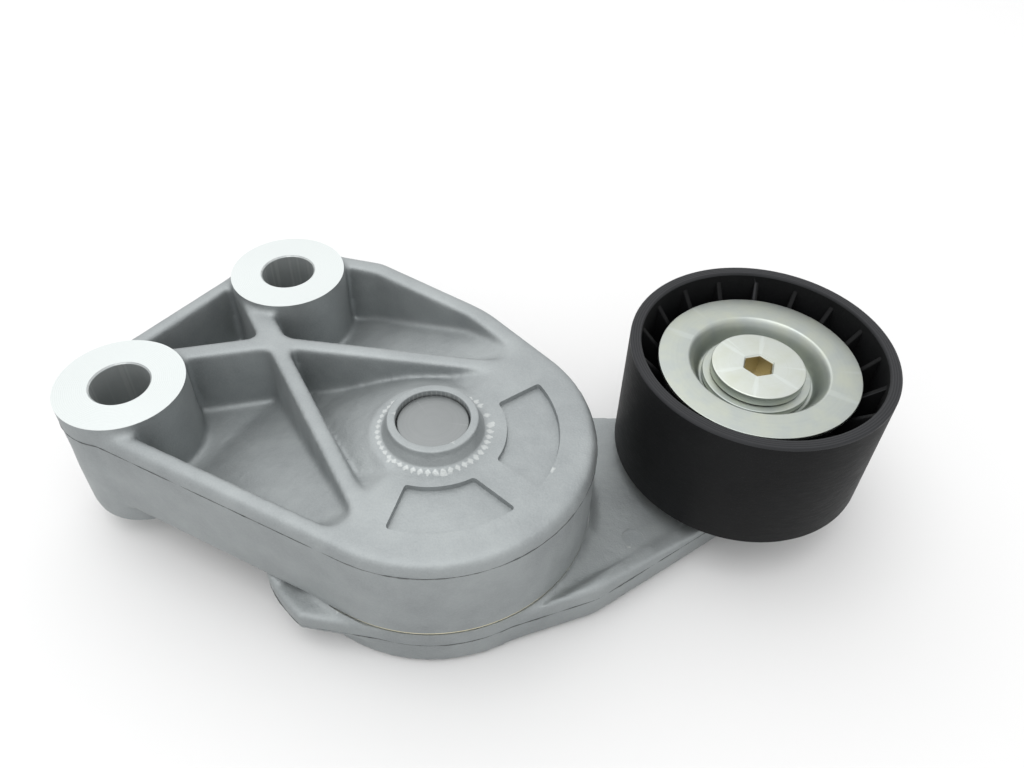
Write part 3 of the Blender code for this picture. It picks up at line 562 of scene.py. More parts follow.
def floor_fill(name, cone):
    """The block under the slanted floor, or the one under the cone round the pivot."""
    bm = bmesh.new()
    if cone:
        foot = FACE - CONE_SLOPE * (FLOOR_RADIUS - CONE_TOP_RADIUS)
        rings = [(CONE_TOP_RADIUS, FACE), (FLOOR_RADIUS, foot), (FLOOR_RADIUS, BED_LOW)]
        turned_block = turned(name, [(0, FACE), *rings, (0, BED_LOW)], soft=0, steps=96)
        bm.from_mesh(turned_block.data)
        bpy.data.objects.remove(turned_block, do_unlink=True)
    else:
        bosses = [(BOSS_LEFT, BOSS_CORE_RADIUS), (BOSS_RIGHT, BOSS_CORE_RADIUS)]
        outline = plan_hull([(PIVOT, FLOOR_RADIUS), *bosses])
        face = bm.faces.new([bm.verts.new((p.x, p.y, BED_LOW * MM)) for p in outline])
        raised = bmesh.ops.extrude_face_region(bm, geom=[face])["geom"]
        tops = [part for part in raised if isinstance(part, bmesh.types.BMVert)]
        bmesh.ops.translate(bm, verts=tops, vec=(0, 0, (FACE - BED_LOW) * MM))
        trimmed(bm, FLOOR_AT_PIVOT, FLOOR_SLOPE, keep_below=True)
    trimmed(bm, BED_AT_PIVOT, BED_SLOPE, keep_below=False)
    return new_object(name, bm)


# %% Cast and machine the bracket
def bore_tool(name, radius, low, high, centre, chamfer=0.45, past=4):
    """A cutter for a bore with a chamfer at each end. It runs past both ends."""
    mouth = radius + chamfer
    outline = [
        (0, high + past),
        (mouth + past, high + past),
        (mouth, high),
        (radius, high - chamfer),
        (radius, low + chamfer),
        (mouth, low),
        (mouth + past, low - past),
        (0, low - past),
    ]
    return turned(name, outline, centre, 96, soft=0)


def make_bracket():
    blank = copy_of("bracket_casting")
    extra = 3.0
    bosses = (("left", BOSS_LEFT), ("right", BOSS_RIGHT))
    stock = [
        drum(f"{side}_stock", BOSS_FACE_RADIUS, BOSS_SEAT - extra, BOSS_FACE + extra, centre)
        for side, centre in bosses
    ]
    stock.append(drum("pivot_stock", 12.5, FACE - 12.0, FACE))
    stock.append(sector("face_stock", (18.0, 38.0), (-122.0, 22.0), (-122.0, 22.0), FACE - 3.0, FACE))
    wall = CASE_RADIUS - CASE_WALL
    rim = [(wall, CASE_BOTTOM + 2), (CASE_RADIUS, CASE_BOTTOM + 2)]
    rim += [(CASE_RADIUS, CASE_BOTTOM - extra), (wall, CASE_BOTTOM - extra)]
    stock.append(turned("rim_stock", rim, soft=0))
    stock += [floor_fill("floor_stock", cone=False), floor_fill("cone_stock", cone=True)]
    absorb(blank, *stock)
    casting = cast(blank, "cast_bracket")
    cuts = [drum("ring_seat", 17.2, FACE, FACE + 20)]
    casting = machine(casting, cuts, name="cast_bracket")
    cuts = [drum("case_foot", CASE_RADIUS + 0.35, CASE_BOTTOM - 8, CASE_BOTTOM, steps=144)]
    for side, centre in bosses:
        cuts.append(drum(f"{side}_top", 23.0, BOSS_FACE, BOSS_FACE + 9, centre))
        cuts.append(drum(f"{side}_foot", 23.0, BOSS_SEAT - 9, BOSS_SEAT, centre))
        cuts.append(bore_tool(f"{side}_bore", BORE_RADIUS, BOSS_SEAT, BOSS_FACE, centre))
    cuts.append(drum("pin_bore", 10.5, 20.0, RING_TOP + 5))
    for number, (inner_arc, outer_arc) in enumerate(RECESSES):
        levels = FACE - RECESS_DEPTH, FACE + 1.0
        cuts.append(sector(f"recess_{number}", RECESS_RADII, inner_arc, outer_arc, *levels, 0.45, 1.1))
    return machine(casting, cuts, [face_ring()], "cast_bracket")


bracket = shade(make_bracket(), 40.0)
dress(bracket, bracket_skin, "bracket", "cast_aluminium", "bracket_casting")

# %% [markdown]
# ## The arm
# The arm is cast the same way. A concave fillet joins its round cup to the plate, and the die's ejector pin
# left a shallow round mark near the raised edge.


# %% Cast and machine the arm
WEB = 12.55
EJECTOR_MARK = Vector((55.3, -25.0))


def make_arm():
    blank = copy_of("arm_casting")
    wall = CASE_RADIUS - CASE_WALL
    rim = [(wall, CUP_TOP + 3), (CASE_RADIUS - 0.1, CUP_TOP + 3), (CASE_RADIUS - 0.1, CUP_TOP - 3)]
    rim.append((wall, CUP_TOP - 3))
    fillet = [
        (CASE_RADIUS - 2, CUP_TOP - 0.3),
        (CASE_RADIUS + 0.3, CUP_TOP - 0.3),
        (CASE_RADIUS + 0.9, WEB + 1.5),
        (CASE_RADIUS + 2.4, WEB + 0.5),
        (CASE_RADIUS + 4.8, WEB - 0.1),
        (CASE_RADIUS + 4.8, WEB - 2),
        (CASE_RADIUS - 2, WEB - 2),
    ]
    stock = [
        turned("cup_stock", rim, soft=0),
        turned("fillet_stock", fillet, soft=0, steps=30, arc=(-26.0, 24.0)),
        drum("post_stock", 12.9, 4.0, POST_TOP + 3, AXLE),
    ]
    absorb(blank, *stock)
    casting = cast(blank, "cast_arm")
    cuts = [
        drum("cup_face", CASE_RADIUS + 0.3, CUP_TOP, CUP_TOP + 6, steps=144),
        drum("post_face", 16.0, POST_TOP, POST_TOP + 8, AXLE),
        bore_tool("post_bore", 6.25, 0.7, POST_TOP, AXLE),
        drum("ejector_mark", 3.4, WEB - 0.18, WEB + 4, EJECTOR_MARK, 48),
    ]
    hub_low, hub_high = span("pivot_bushing")[2:]
    cuts.append(drum("hub_face", 18.5, hub_high, hub_high + 6))
    cuts.append(drum("hub_bore", 12.5, hub_low - 1, hub_high + 6))
    return machine(casting, cuts, name="cast_arm")


arm = shade(make_arm(), 40.0)
dress(arm, arm_skin, "arm", "cast_aluminium", "arm_casting")

# %% [markdown]
# ## Flash along the parting lines
# Where the two halves of a die meet, a thin line of metal squeezes out, and trimming leaves it ragged. It
# follows the outline of each casting, so Geometry Nodes makes it: the outline becomes a curve, noise varies
# how thick the curve is, and a small round section is swept along it.


# %% A swept tree for lines of flash
def geometry_tree(name, inputs):
    """An empty Geometry Nodes tree with a geometry input and the float inputs named."""
    tree = bpy.data.node_groups.new(name, "GeometryNodeTree")
    tree.interface.new_socket("Geometry", in_out="INPUT", socket_type="NodeSocketGeometry")
    for label, value in inputs.items():
        kind = "NodeSocketInt" if isinstance(value, int) else "NodeSocketFloat"
        tree.interface.new_socket(label, in_out="INPUT", socket_type=kind).default_value = value
    tree.interface.new_socket("Geometry", in_out="OUTPUT", socket_type="NodeSocketGeometry")
    graph = Graph(tree)
    source = tree.nodes.new("NodeGroupInput")
    return graph, {socket.name: Wire(graph, socket) for socket in source.outputs if socket.name}


def finish_tree(graph, shape, material):
    shape = graph.node("GeometryNodeRealizeInstances", None, {"Geometry": shape})
    shape = graph.node("GeometryNodeSetMaterial", None, {"Geometry": shape, "Material": material})
    out = graph.tree.nodes.new("NodeGroupOutput")
    graph.feed(out.inputs["Geometry"], shape)
    return graph.tree


def grow(obj, tree, **values):
    """Runs a tree on an object with these inputs, and returns the result as a plain mesh object."""
    modifier = obj.modifiers.new(tree.name, "NODES")
    modifier.node_group = tree
    for socket in tree.interface.items_tree:
        if socket.in_out == "INPUT" and socket.name in values:
            modifier[socket.identifier] = values[socket.name]
    return apply_modifiers(obj, obj.name)


def flash_tree(material):
    graph, given = geometry_tree("flash_line", {"Thickness": 0.00030, "Spacing": 0.0006, "Seed": 1.0})
    curve = graph.node("GeometryNodeMeshToCurve", None, {"Mesh": given["Geometry"]})
    curve = graph.node(
        "GeometryNodeResampleCurve", {"mode": "LENGTH"}, {"Curve": curve, "Length": given["Spacing"]}
    )
    place = graph.node("GeometryNodeInputPosition")
    noise = graph.node(
        "ShaderNodeTexNoise",
        {"noise_dimensions": "4D"},
        {"Vector": place, "W": given["Seed"], "Scale": 110.0, "Detail": 4.0, "Roughness": 0.7},
    )
    ragged = graph.maths("MULTIPLY", graph.maths("SUBTRACT", noise, 0.38), 3.2, clamp=True)
    curve = graph.node(
        "GeometryNodeSetCurveRadius", None, {"Curve": curve, "Radius": ragged * 0.6 + 0.4}
    )
    section = graph.node(
        "GeometryNodeCurvePrimitiveCircle", None, {"Resolution": 6, "Radius": given["Thickness"]}
    )
    swept = graph.node(
        "GeometryNodeCurveToMesh", None, {"Curve": curve, "Profile Curve": section, "Scale": ragged}
    )
    return finish_tree(graph, swept, material)


def outer_outline(obj, level, name):
    """The outermost loop in which a level plane cuts a mesh, as an object of edges."""
    bm = bmesh.new()
    bm.from_mesh(obj.data)
    cut = bmesh.ops.bisect_plane(
        bm, geom=bm.verts[:] + bm.edges[:] + bm.faces[:], plane_co=(0, 0, level * MM), plane_no=(0, 0, 1)
    )["geom_cut"]
    edges = {part for part in cut if isinstance(part, bmesh.types.BMEdge)}
    loops = []
    while edges:
        loop, waiting = [], [edges.pop()]
        while waiting:
            edge = waiting.pop()
            loop.append(edge)
            ahead = [e for vert in edge.verts for e in vert.link_edges if e in edges]
            edges.difference_update(ahead)
            waiting += ahead
        loops.append(loop)
    reaches = [max(v.co.x for e in loop for v in e.verts) for loop in loops]
    outermost = loops[reaches.index(max(reaches))]
    print(f"{name}: {len(loops)} loops, the outermost of {len(outermost)} edges")
    line = bmesh.new()
    twins = {}
    for edge in outermost:
        for vert in edge.verts:
            if vert not in twins:
                twins[vert] = line.verts.new(vert.co)
        line.edges.new([twins[vert] for vert in edge.verts])
    made = new_object(name, line)
    bm.free()
    return made


def flash_line(casting, level, name, body, material, seed):
    """A ragged line of metal along a casting's outer outline at one level."""
    line = outer_outline(casting, level, name)
    made = grow(line, flash_tree(material), Seed=seed)
    shade(made)
    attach(made, body)
    print(f"{name}: {len(made.data.polygons)} faces at z = {level} mm")


# The flash is coloured far darker than the casting: a real ridge of flash, with painted shade along the
# parting line.
FLASH_PAINTED_SHADE = Finish("flash_metal", Metallic=0.9)
FLASH_PAINTED_SHADE.paint(
    Base_Color=FLASH_PAINTED_SHADE.mix(FLASH_PAINTED_SHADE.noise(3.0, 3.0), (0.045, 0.05, 0.05), (0.20, 0.21, 0.21)),
    Roughness=0.42 + FLASH_PAINTED_SHADE.noise(1.2) * 0.2,
)
flash_line(bracket, 42.9, "bracket_flash", "bracket", FLASH_PAINTED_SHADE.material, 1.0)
flash_line(arm, 10.1, "arm_flash", "arm", FLASH_PAINTED_SHADE.material, 2.0)

# %% [markdown]
# ## The pulley
# The pulley is glass-filled nylon moulded round its bearing, with thin ribs between hub and rim. Its shell
# is turned. One rib is drawn, and Geometry Nodes copy it round the axis, so the number of ribs is one
# input. A Boolean then joins shell and ribs into one skin, as in the mould.


# %% Black nylon finish
def black_nylon():
    """Matte charcoal. Belt and turning marks run round the rim, the rim's top face carries turning marks and
    is painted lighter as painted light, the edges are painted lighter as a painted highlight, and fibres show
    as pale specks.
    """
    f = Finish("black_nylon", Metallic=0.0, Specular_IOR_Level=0.10)
    reach = f.distance(AXLE)
    level = f.axis("Z")
    fibre = f.ramp(f.noise(0.35, 2.0, 0.6), (0.55, 0.0), (0.78, 1.0))
    cloud = f.noise(12.0, 3.0)
    lines = f.maths("SINE", (reach + f.noise(20.0) * 0.6) * (math.tau / 0.7)) * 0.5 + 0.5
    top = (level > PULLEY_HIGH - 0.9) * (reach > 35.4)
    belt = reach > PULLEY_RADIUS - 0.5
    polish = f.ramp(f.noise(4.0, 3.0, 0.6, f.stretched(1.0, 1.0, 9.0)), (0.4, 0.0), (0.7, 1.0)) * belt
    color = f.mix(cloud, (0.0035, 0.0037, 0.0040), (0.0075, 0.0078, 0.0082))
    # The rim's top face is painted lighter: painted light on the upward face, with real turning lines in it.
    color = f.mix(top * (lines * 0.35 + 0.4), color, (0.040, 0.041, 0.044))
    color = f.mix(fibre * 0.10, color, (0.07, 0.07, 0.072))
    # Edges are painted lighter: a painted highlight.
    color = f.mix(f.ramp(f.edges(), (0.55, 0.0), (0.75, 1.0)) * 0.4, color, (0.055, 0.056, 0.06))
    rough = 0.50 + fibre * 0.08 + cloud * 0.08 - polish * 0.10 - top * 0.05
    height = fibre * 0.4 + f.noise(0.9, 3.0) * 0.5 + lines * top * 0.8
    return f.paint(Base_Color=color, Roughness=rough, Normal=f.bump(height, 0.05))


NYLON = black_nylon()
print("finish:", NYLON.name)


# %% Turn the shell, copy the ribs, and join them
def copies_tree(material):
    """Copies of the input geometry, evenly spaced round the Z axis."""
    graph, given = geometry_tree("copies_round_axis", {"Count": 18, "Start": 0.0})
    points = graph.node("GeometryNodePoints", None, {"Count": given["Count"]})
    number = graph.node("GeometryNodeInputIndex")
    angle = number * (math.tau / (given["Count"] + 0.0)) + given["Start"]
    turn = graph.node("ShaderNodeCombineXYZ", None, {"Z": angle})
    sockets = {"Points": points, "Instance": given["Geometry"], "Rotation": turn}
    placed = graph.node("GeometryNodeInstanceOnPoints", None, sockets)
    return finish_tree(graph, placed, material)


def move_mesh(obj, centre, lift=0.0):
    obj.data.transform(Matrix.Translation(Vector((*centre, lift)) * MM))
    return obj


BEARING_LOW, BEARING_HIGH = span("bearing_outer_ring")[2:]
BEARING_RADIUS = span("bearing_outer_ring")[1]
BEARING_MIDDLE = (BEARING_LOW + BEARING_HIGH) / 2
HUB_INNER = BEARING_RADIUS + GAP
HUB_OUTER = HUB_INNER + 3.7
RIM_INNER = 35.7
WEB_HALF = 3.0


def pulley_outline():
    hub_low, hub_high = BEARING_LOW - GAP, BEARING_HIGH + GAP
    lip, wall = BEARING_RADIUS - 1.2, RIM_INNER - 0.7
    web_low, web_high = BEARING_MIDDLE - WEB_HALF, BEARING_MIDDLE + WEB_HALF
    return [
        (RIM_INNER, PULLEY_HIGH),
        (PULLEY_RADIUS, PULLEY_HIGH),
        (PULLEY_RADIUS, PULLEY_LOW),
        (RIM_INNER, PULLEY_LOW),
        (wall, web_low),
        (HUB_OUTER, web_low),
        (HUB_OUTER, hub_low - 0.7),
        (lip, hub_low - 0.7),
        (lip, hub_low),
        (HUB_INNER, hub_low),
        (HUB_INNER, hub_high),
        (lip, hub_high),
        (lip, hub_high + 0.7),
        (HUB_OUTER, hub_high + 0.7),
        (HUB_OUTER, web_high),
        (wall, web_high),
    ]


RIB_COUNT = 18
RIB_START = 7.6
RIB_HALF = 0.8


def one_rib():
    """A thin plate from hub to rim, with its edges rounded."""
    inner, outer = HUB_INNER + 1.85, RIM_INNER + 0.6
    side = [(inner, BEARING_LOW - GAP), (outer, PULLEY_LOW + 5.0)]
    side += [(outer, PULLEY_HIGH - 2.5), (inner, BEARING_HIGH + GAP)]
    bm = bmesh.new()
    face = bm.faces.new([bm.verts.new(Vector((r, -RIB_HALF, z)) * MM) for r, z in side])
    raised = bmesh.ops.extrude_face_region(bm, geom=[face])["geom"]
    tips = [part for part in raised if isinstance(part, bmesh.types.BMVert)]
    bmesh.ops.translate(bm, verts=tips, vec=(0, 2 * RIB_HALF * MM, 0))
    bmesh.ops.bevel(bm, geom=bm.edges[:], offset=0.45 * MM, segments=3, profile=0.5, affect="EDGES")
    return new_object("pulley_ribs", bm)


def make_pulley():
    ribs = grow(one_rib(), copies_tree(NYLON), Count=RIB_COUNT, Start=math.radians(RIB_START))
    shell = turned("pulley", pulley_outline(), AXLE, 180, soft=0.7)
    return machine(shell, [], [move_mesh(ribs, AXLE)], "pulley")


dress(shade(make_pulley()), NYLON, "pulley", "black_nylon", "pulley_shell")

# %% [markdown]
# ## Plated and turned steel
# Zinc plate is pale and satin, with a faint yellow cast where it was passivated. Its grain runs round the
# axis that the piece was pressed or turned on. The same idea, darker and with deeper lines, makes the bare
# turned steel.


# %% Metal finishes with rings
def ringed_metal(name, centre, dark, light, rough, pitch, depth, tint=None, socket=None):
    """Metal with fine rings round an upright axis, light scratches, and edges painted lighter as a painted
    highlight.
    """
    f = Finish(name, Metallic=1.0)
    reach = f.distance(centre) + f.axis("Z") * 0.7
    fine = f.noise(1.0, 3.0, 0.7, f.node("ShaderNodeCombineXYZ", None, {"X": reach * (1 / pitch)}))
    wide = f.noise(9.0, 4.0, 0.6)
    scratch = f.ramp(f.noise(3.0, 6.0, 0.8, f.stretched(1.0, 7.0, 1.0)), (0.64, 0.0), (0.70, 1.0))
    color = f.mix(fine * 0.55 + wide * 0.45, dark, light)
    if tint:
        color = f.mix(f.ramp(wide, (0.40, 0.0), (0.70, 1.0)) * 0.6, color, tint)
    color = f.mix(scratch * 0.25, color, light)
    # Edges are painted lighter: a painted highlight.
    color = f.mix(f.ramp(f.edges(), (0.56, 0.0), (0.78, 1.0)) * 0.5, color, light)
    if socket:
        radius, level, inside = socket
        color = f.mix((f.distance(centre) < radius) * (f.axis("Z") < level) * 0.85, color, inside)
    height = fine + f.noise(0.8, 2.0) * 0.5 + scratch * 0.3
    surface = rough + fine * 0.06 + wide * 0.08
    return f.paint(Base_Color=color, Roughness=surface, Normal=f.bump(height, depth))


ZINC_DARK, ZINC_LIGHT = (0.31, 0.335, 0.320), (0.46, 0.495, 0.475)
ZINC_TINT = (0.44, 0.46, 0.37)
SHIELD_ZINC = ringed_metal("zinc_plate", AXLE, ZINC_DARK, ZINC_LIGHT, 0.36, 0.8, 0.012, ZINC_TINT)
SOCKET_GOLD = (5.4, span("pulley_bolt")[3] - 0.45, (0.50, 0.43, 0.26))
BOLT_ZINC = ringed_metal(
    "zinc_plate_bolt", AXLE, (0.44, 0.46, 0.42), (0.60, 0.64, 0.62), 0.30, 0.5, 0.02, ZINC_TINT, SOCKET_GOLD
)
PIN_STEEL = ringed_metal("machined_steel", PIVOT, (0.16, 0.17, 0.172), (0.26, 0.272, 0.272), 0.38, 0.6, 0.02)
RING_STEEL = ringed_metal("bearing_steel", AXLE, (0.50, 0.51, 0.53), (0.68, 0.69, 0.71), 0.20, 0.4, 0.006)
WIRE_STEEL = ringed_metal("spring_steel", PIVOT, (0.045, 0.045, 0.05), (0.16, 0.16, 0.17), 0.42, 2.0, 0.03)
BRONZE = ringed_metal("bronze_bush", PIVOT, (0.33, 0.21, 0.10), (0.52, 0.37, 0.19), 0.42, 0.7, 0.02)
print("metal finishes made")

# %% [markdown]
# The dust shield is pressed from sheet. Its floor is clamped under the bolt's washer, and an S-bend lifts
# its flat outer ring into the pulley's mouth. The bend is a cosine, so it runs into both flats without a
# crease.

# %% Shield, washer and bolt
THREAD_BORE = 6.25
SHEET = 1.2
SHIELD_RADIUS, SHIELD_LOW, SHIELD_TOP = span("dust_shield")[1:]
SHIELD_CREST = 21.2
WASHER_RADIUS, WASHER_LOW, WASHER_TOP = span("bolt_washer")[1:]
HEAD_RADIUS, BOLT_END, HEAD_TOP = span("pulley_bolt")[1:]
HEAD_LOW = WASHER_TOP + GAP


def shield_outline():
    floor_end, rise = WASHER_RADIUS + 0.6, SHIELD_TOP - SHEET - SHIELD_LOW
    bend = []
    for step in range(25):
        share = step / 24
        lift = (1 - math.cos(math.pi * share)) / 2
        bend.append((floor_end + (SHIELD_CREST - floor_end) * share, SHIELD_LOW + rise * lift))
    upper = [(r, z + SHEET) for r, z in bend]
    lower = [(r + 0.5, z) for r, z in reversed(bend)]
    rim = [(SHIELD_RADIUS, SHIELD_TOP), (SHIELD_RADIUS, SHIELD_TOP - SHEET)]
    return [(THREAD_BORE, SHIELD_LOW + SHEET), *upper, *rim, *lower, (THREAD_BORE, SHIELD_LOW)]


def ring_piece(node, inner, body, slot, material, soft=0.2, centre=PIVOT):
    """A plain turned ring with the outer size and the levels of its solid."""
    outer, low, high = span(node)[1:]
    outline = [(inner, high), (outer, high), (outer, low), (inner, low)]
    made = turned(node + "_turned", outline, centre, soft=soft)
    return dress(shade(made), material, body, slot, node)


def make_bolt():
    outline = [
        (0, HEAD_TOP),
        (HEAD_RADIUS, HEAD_TOP),
        (HEAD_RADIUS, HEAD_LOW),
        (5.95, HEAD_LOW),
        (5.95, BOLT_END + 1),
        (4.95, BOLT_END),
        (0, BOLT_END),
    ]
    bolt = turned("bolt", outline, AXLE, soft=0.35)
    corner = 8.0 / math.sqrt(3)
    bm = bmesh.new()
    rings = []
    for level, radius in ((HEAD_TOP - 6.0, corner), (HEAD_TOP - 0.5, corner), (HEAD_TOP + 0.6, corner + 1.1)):
        turns = [math.tau * k / 6 for k in range(6)]
        spots = [Vector((radius * math.cos(a), radius * math.sin(a), level)) * MM for a in turns]
        rings.append([bm.verts.new(spot) for spot in spots])
    for lower, upper in zip(rings, rings[1:]):
        for k in range(6):
            bm.faces.new((lower[k], lower[k - 5], upper[k - 5], upper[k]))
    bm.faces.new(rings[0])
    bm.faces.new(rings[-1])
    socket = move_mesh(new_object("bolt_socket", bm), AXLE)
    return machine(bolt, [socket], name="bolt")


shield = turned("shield", shield_outline(), AXLE, 180, soft=0.3)
dress(shade(shield, 50.0), SHIELD_ZINC, "arm", "zinc_plate", "dust_shield")
ring_piece("bolt_washer", THREAD_BORE, "arm", "zinc_plate", SHIELD_ZINC, 0.3, AXLE)
ring_piece("rear_shield", THREAD_BORE, "arm", "zinc_plate", SHIELD_ZINC, 0.3, AXLE)
dress(shade(make_bolt(), 30.0), BOLT_ZINC, "arm", "zinc_plate", "pulley_bolt")

# %% [markdown]
# The pin is turned from bar. Its large head is flush with the arm's underside, and its small end shows in
# the ring on the face. The hole left by the lathe's centre is in its head.

# %% The pivot pin
outline = [
    (0, PIN_TOP),
    (10.2, PIN_TOP),
    (10.2, 3.0),
    (PIN_HEAD_RADIUS, 3.0),
    (PIN_HEAD_RADIUS, 0.0),
    (1.2, 0.0),
    (0, 0.7),
]
dress(shade(turned("pin", outline, soft=0.4)), PIN_STEEL, "bracket", "machined_steel", "pivot_pin")

# %% [markdown]
# ## The sprung pivot
# The spring is round wire wound to a helix. A Spiral curve in Geometry Nodes gives it exactly, and its
# turns, radius and rise stay as inputs. One end is held by the bracket and the other by the arm.


# %% The spring
def coil_tree(material):
    sizes = {"Turns": 1.0, "Radius": 0.01, "Rise": 0.01, "Wire": 0.001, "Start": 0.0}
    graph, given = geometry_tree("wound_spring", sizes)
    sockets = {"Resolution": 96, "Rotations": given["Turns"], "Start Radius": given["Radius"]}
    sockets |= {"End Radius": given["Radius"], "Height": given["Rise"]}
    curve = graph.node("GeometryNodeCurveSpiral", None, sockets)
    turn = graph.node("ShaderNodeCombineXYZ", None, {"Z": given["Start"]})
    curve = graph.node("GeometryNodeTransform", None, {"Geometry": curve, "Rotation": turn})
    section = graph.node(
        "GeometryNodeCurvePrimitiveCircle", None, {"Resolution": 24, "Radius": given["Wire"]}
    )
    sockets = {"Curve": curve, "Profile Curve": section, "Fill Caps": True}
    return finish_tree(graph, graph.node("GeometryNodeCurveToMesh", None, sockets), material)


WIRE = 3.2
COIL_RADIUS = 29.3
COIL_TURNS = 2.4
COIL_START = 186.0
coil_low, coil_high = span("torsion_spring")[2:]
spring = grow(
    new_object("spring", bmesh.new()),
    coil_tree(WIRE_STEEL),
    Turns=COIL_TURNS,
    Radius=COIL_RADIUS * MM,
    Rise=(coil_high - coil_low - 2 * WIRE) * MM,
    Wire=WIRE * MM,
    Start=math.radians(COIL_START),
)
move_mesh(spring, PIVOT, coil_low + WIRE)
shade(spring)
(coil_high - WIRE) * MM
(coil_low + WIRE) * MM
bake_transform(spring)
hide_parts("torsion_spring")
print("spring:", len(spring.data.polygons), "faces")


# %% [markdown]
# Around the spring are moulded pieces: a sleeve, thrust washers, and the friction shoe that damps the arm.
# Natural nylon is cream and slightly waxy. The shoe is filled and dark.


# %% Plastic and rubber finishes
def moulded(name, dark, light, rough, speck, speck_size, depth):
    """A moulded finish: cloudy colour, specks of filler, a fine eroded skin, and edges painted lighter as a
    painted highlight.
    """
    f = Finish(name, Metallic=0.0)
    cloud = f.noise(11.0, 4.0, 0.6)
    specks = f.ramp(f.noise(speck_size, 2.0), (0.60, 0.0), (0.68, 1.0))
    skin = f.noise(0.7, 3.0, 0.6)
    color = f.mix(specks * 0.4, f.mix(cloud, dark, light), speck)
    # Edges are painted lighter: a painted highlight.
    color = f.mix(f.ramp(f.edges(), (0.56, 0.0), (0.8, 1.0)) * 0.3, color, light)
    surface = rough + cloud * 0.1 + specks * 0.05
    return f.paint(Base_Color=color, Roughness=surface, Normal=f.bump(skin + specks * 0.4, depth))


PALE = moulded(
    "pale_nylon", (0.60, 0.55, 0.36), (0.76, 0.72, 0.53), 0.42, (0.52, 0.46, 0.28), 2.4, 0.03
)
SHOE = moulded(
    "friction_nylon", (0.10, 0.08, 0.06), (0.20, 0.165, 0.13), 0.62, (0.34, 0.29, 0.22), 1.1, 0.06
)
RUBBER = moulded(
    "seal_rubber", (0.022, 0.016, 0.015), (0.040, 0.030, 0.028), 0.55, (0.07, 0.05, 0.05), 0.9, 0.03
)

# %% Sleeve, shoe, bush and washers
CAVITY = 41.5
HUB_BORE = 10.5
SHOE_ARC = (-120.0, 0.0)
ring_piece("seam_ring", CAVITY + GAP, "arm", "pale_nylon", PALE, 0.15)
ring_piece("spring_sleeve", 32.8, "arm", "pale_nylon", PALE, 0.35)
ring_piece("pivot_bushing", HUB_BORE, "arm", "bronze_bush", BRONZE, 0.3)
ring_piece("lower_thrust_washer", HUB_BORE, "arm", "pale_nylon", PALE, 0.2)
ring_piece("upper_thrust_washer", HUB_BORE, "arm", "pale_nylon", PALE, 0.2)
for node, inner, outer, slot, material in (
    ("shoe_backing", 34.5, 35.4, "machined_steel", PIN_STEEL),
    ("damper_shoe", 35.7, 41.2, "friction_nylon", SHOE),
):
    low, high = span(node)[2:]
    outline = [(inner, high), (outer, high), (outer, low), (inner, low)]
    made = turned(node + "_shaped", outline, soft=0.3, steps=72, arc=SHOE_ARC)
    dress(shade(made), material, "arm", slot, node)

# %% [markdown]
# ## The bearing
# The pulley turns on a deep groove ball bearing with a rubber seal on each side. The balls are copies of
# one ball from the same tree as the ribs. The cage is a ring with a pocket for each ball, and turns with
# them.

# %% Rings, balls, cage and seals
BALL_CIRCLE = 16.0
BALLS = 7
BALL_RADIUS = span("ball_1")[1]
SHOULDER = 3.3
INNER_SHOULDER, OUTER_SHOULDER = BALL_CIRCLE - SHOULDER, BALL_CIRCLE + SHOULDER


def groove(side, steps=16):
    """Points of the ball groove, from the top down, hollowed towards side."""
    radius = BALL_RADIUS + GAP
    half = math.asin(SHOULDER / radius)
    angles = [half + (math.pi - 2 * half) * step / steps for step in range(steps + 1)]
    reach = side * radius
    return [(BALL_CIRCLE + reach * math.sin(a), BEARING_MIDDLE + radius * math.cos(a)) for a in angles]


bore = span("bearing_sleeve")[1] + GAP
inner = [(bore, BEARING_HIGH), (INNER_SHOULDER, BEARING_HIGH), *groove(-1)]
inner += [(INNER_SHOULDER, BEARING_LOW), (bore, BEARING_LOW)]
made = shade(turned("inner_ring", inner, AXLE))
dress(made, RING_STEEL, "arm", "bearing_steel", "bearing_inner_ring")
outer = [(OUTER_SHOULDER, BEARING_HIGH), (BEARING_RADIUS, BEARING_HIGH), (BEARING_RADIUS, BEARING_LOW)]
outer += [(OUTER_SHOULDER, BEARING_LOW), *reversed(groove(1))]
made = shade(turned("outer_ring", outer, AXLE))
dress(made, RING_STEEL, "pulley", "bearing_steel", "bearing_outer_ring")
ring_piece("bearing_sleeve", THREAD_BORE, "arm", "machined_steel", RING_STEEL, 0.3, AXLE)
for node in ("front_seal", "rear_seal"):
    ring_piece(node, INNER_SHOULDER + GAP, "pulley", "seal_rubber", RUBBER, 0.15, AXLE)


def ball(radius, name):
    bm = bmesh.new()
    bmesh.ops.create_icosphere(bm, subdivisions=4, radius=radius * MM)
    bmesh.ops.translate(bm, verts=bm.verts, vec=Vector((BALL_CIRCLE, 0, 0)) * MM)
    return new_object(name, bm)


tree = copies_tree(RING_STEEL)
balls = move_mesh(grow(ball(BALL_RADIUS, "balls"), tree, Count=BALLS, Start=0.0), AXLE, BEARING_MIDDLE)
dress(shade(balls), RING_STEEL, "cage", "bearing_steel", *(f"ball_{number + 1}" for number in range(BALLS)))
low, high = span("ball_cage")[2:]
cage_inner, cage_outer = BALL_CIRCLE - 1.1, BALL_CIRCLE + 1.1
cage = turned("cage", [(cage_inner, high), (cage_outer, high), (cage_outer, low), (cage_inner, low)], AXLE)
pockets = grow(ball(BALL_RADIUS + GAP, "cage_pockets"), tree, Count=BALLS, Start=0.0)
cage = machine(cage, [move_mesh(pockets, AXLE, BEARING_MIDDLE)], name="cage")
dress(shade(cage), RING_STEEL, "cage", "machined_steel", "ball_cage")

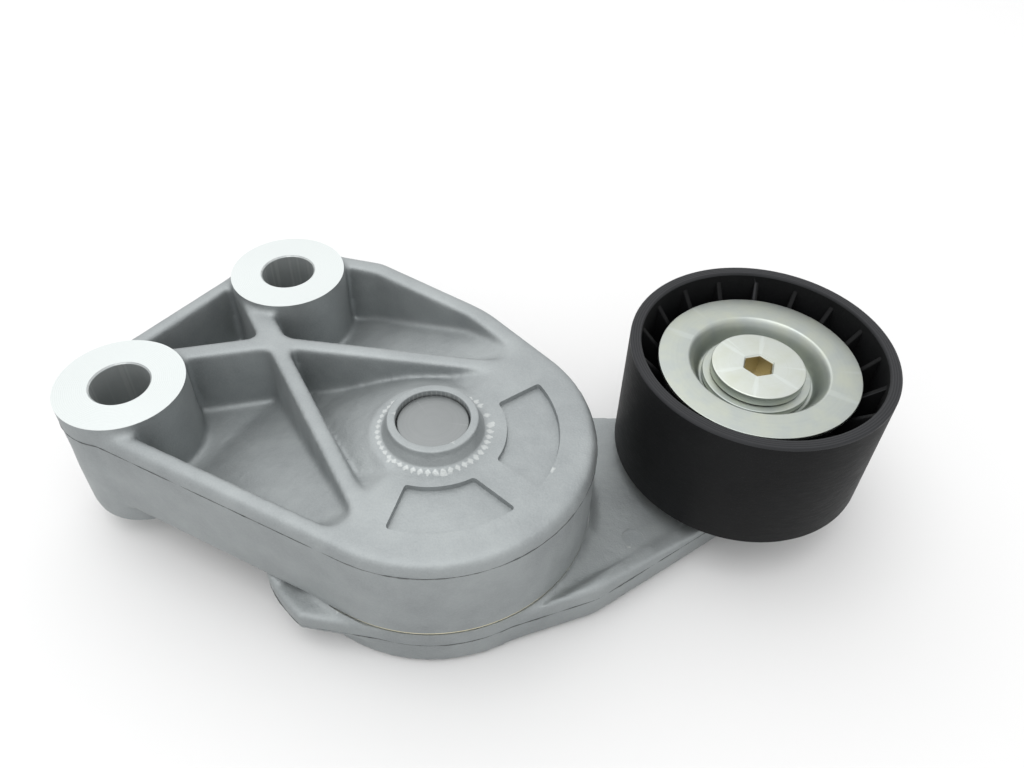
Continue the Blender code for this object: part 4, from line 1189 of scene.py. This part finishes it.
# %% [markdown]
# ## The setting
# The part lies on a plain pale floor under broad, soft lights. A panel above and one behind give the satin
# metal something to reflect, and a weaker one at the front left lifts the sides. The white world fills the
# rest.


# %% Floor, lights and camera
def floor_finish():
    f = Finish("pale_floor", Metallic=0.0, Roughness=0.9)
    return f.paint(Base_Color=f.mix(f.noise(400.0), (0.63, 0.63, 0.63), (0.65, 0.65, 0.65)))


def panel(name, place, target, size, power):
    light = bpy.data.lights.new(name, "AREA")
    light.shape = "DISK"
    light.size = size
    light.energy = power
    obj = bpy.data.objects.new(name, light)
    obj.location = place
    obj.rotation_euler = (Vector(target) - Vector(place)).to_track_quat("-Z", "Y").to_euler()
    bpy.context.scene.collection.objects.link(obj)


bm = bmesh.new()
bmesh.ops.create_grid(bm, x_segments=1, y_segments=1, size=4.0)
floor = new_object("floor", bm)
floor.data.transform(Matrix.Translation((0, 0, -0.0004)))
floor.data.materials.append(floor_finish())

world = bpy.data.worlds.new("soft_white")
world.use_nodes = True
backdrop = world.node_tree.nodes["Background"]
backdrop.inputs["Color"].default_value = (1.0, 1.0, 1.0, 1.0)
backdrop.inputs["Strength"].default_value = 1.15
bpy.context.scene.world = world
bpy.context.scene.view_settings.view_transform = "Standard"
middle = (0.01, 0.02, 0.03)
panel("back_panel", (-0.15, 0.75, 1.0), middle, 1.5, 4.0)
panel("overhead_panel", (-0.2, -0.1, 1.3), middle, 1.2, 6.0)
panel("front_panel", (-0.3, -0.7, 1.0), middle, 0.9, 1.5)

EYE = Vector((-0.0206203, -0.1632153, 0.2273829))
LENS = 30.302
RIGHT = Vector((0.97326, -0.22803, 0.02771))
DOWN = Vector((-0.14142, -0.68985, -0.71001))
FORWARD = Vector((0.18102, 0.68710, -0.70365))
camera = bpy.data.objects.new("camera", bpy.data.cameras.new("camera"))
camera.data.lens = LENS
camera.data.sensor_width = 36.0
camera.data.clip_start = 0.01
camera.data.clip_end = 20.0
turn = Matrix((RIGHT, -DOWN, -FORWARD)).transposed().to_4x4()
camera.matrix_world = Matrix.Translation(EYE) @ turn
bpy.context.scene.collection.objects.link(camera)
bpy.context.scene.camera = camera
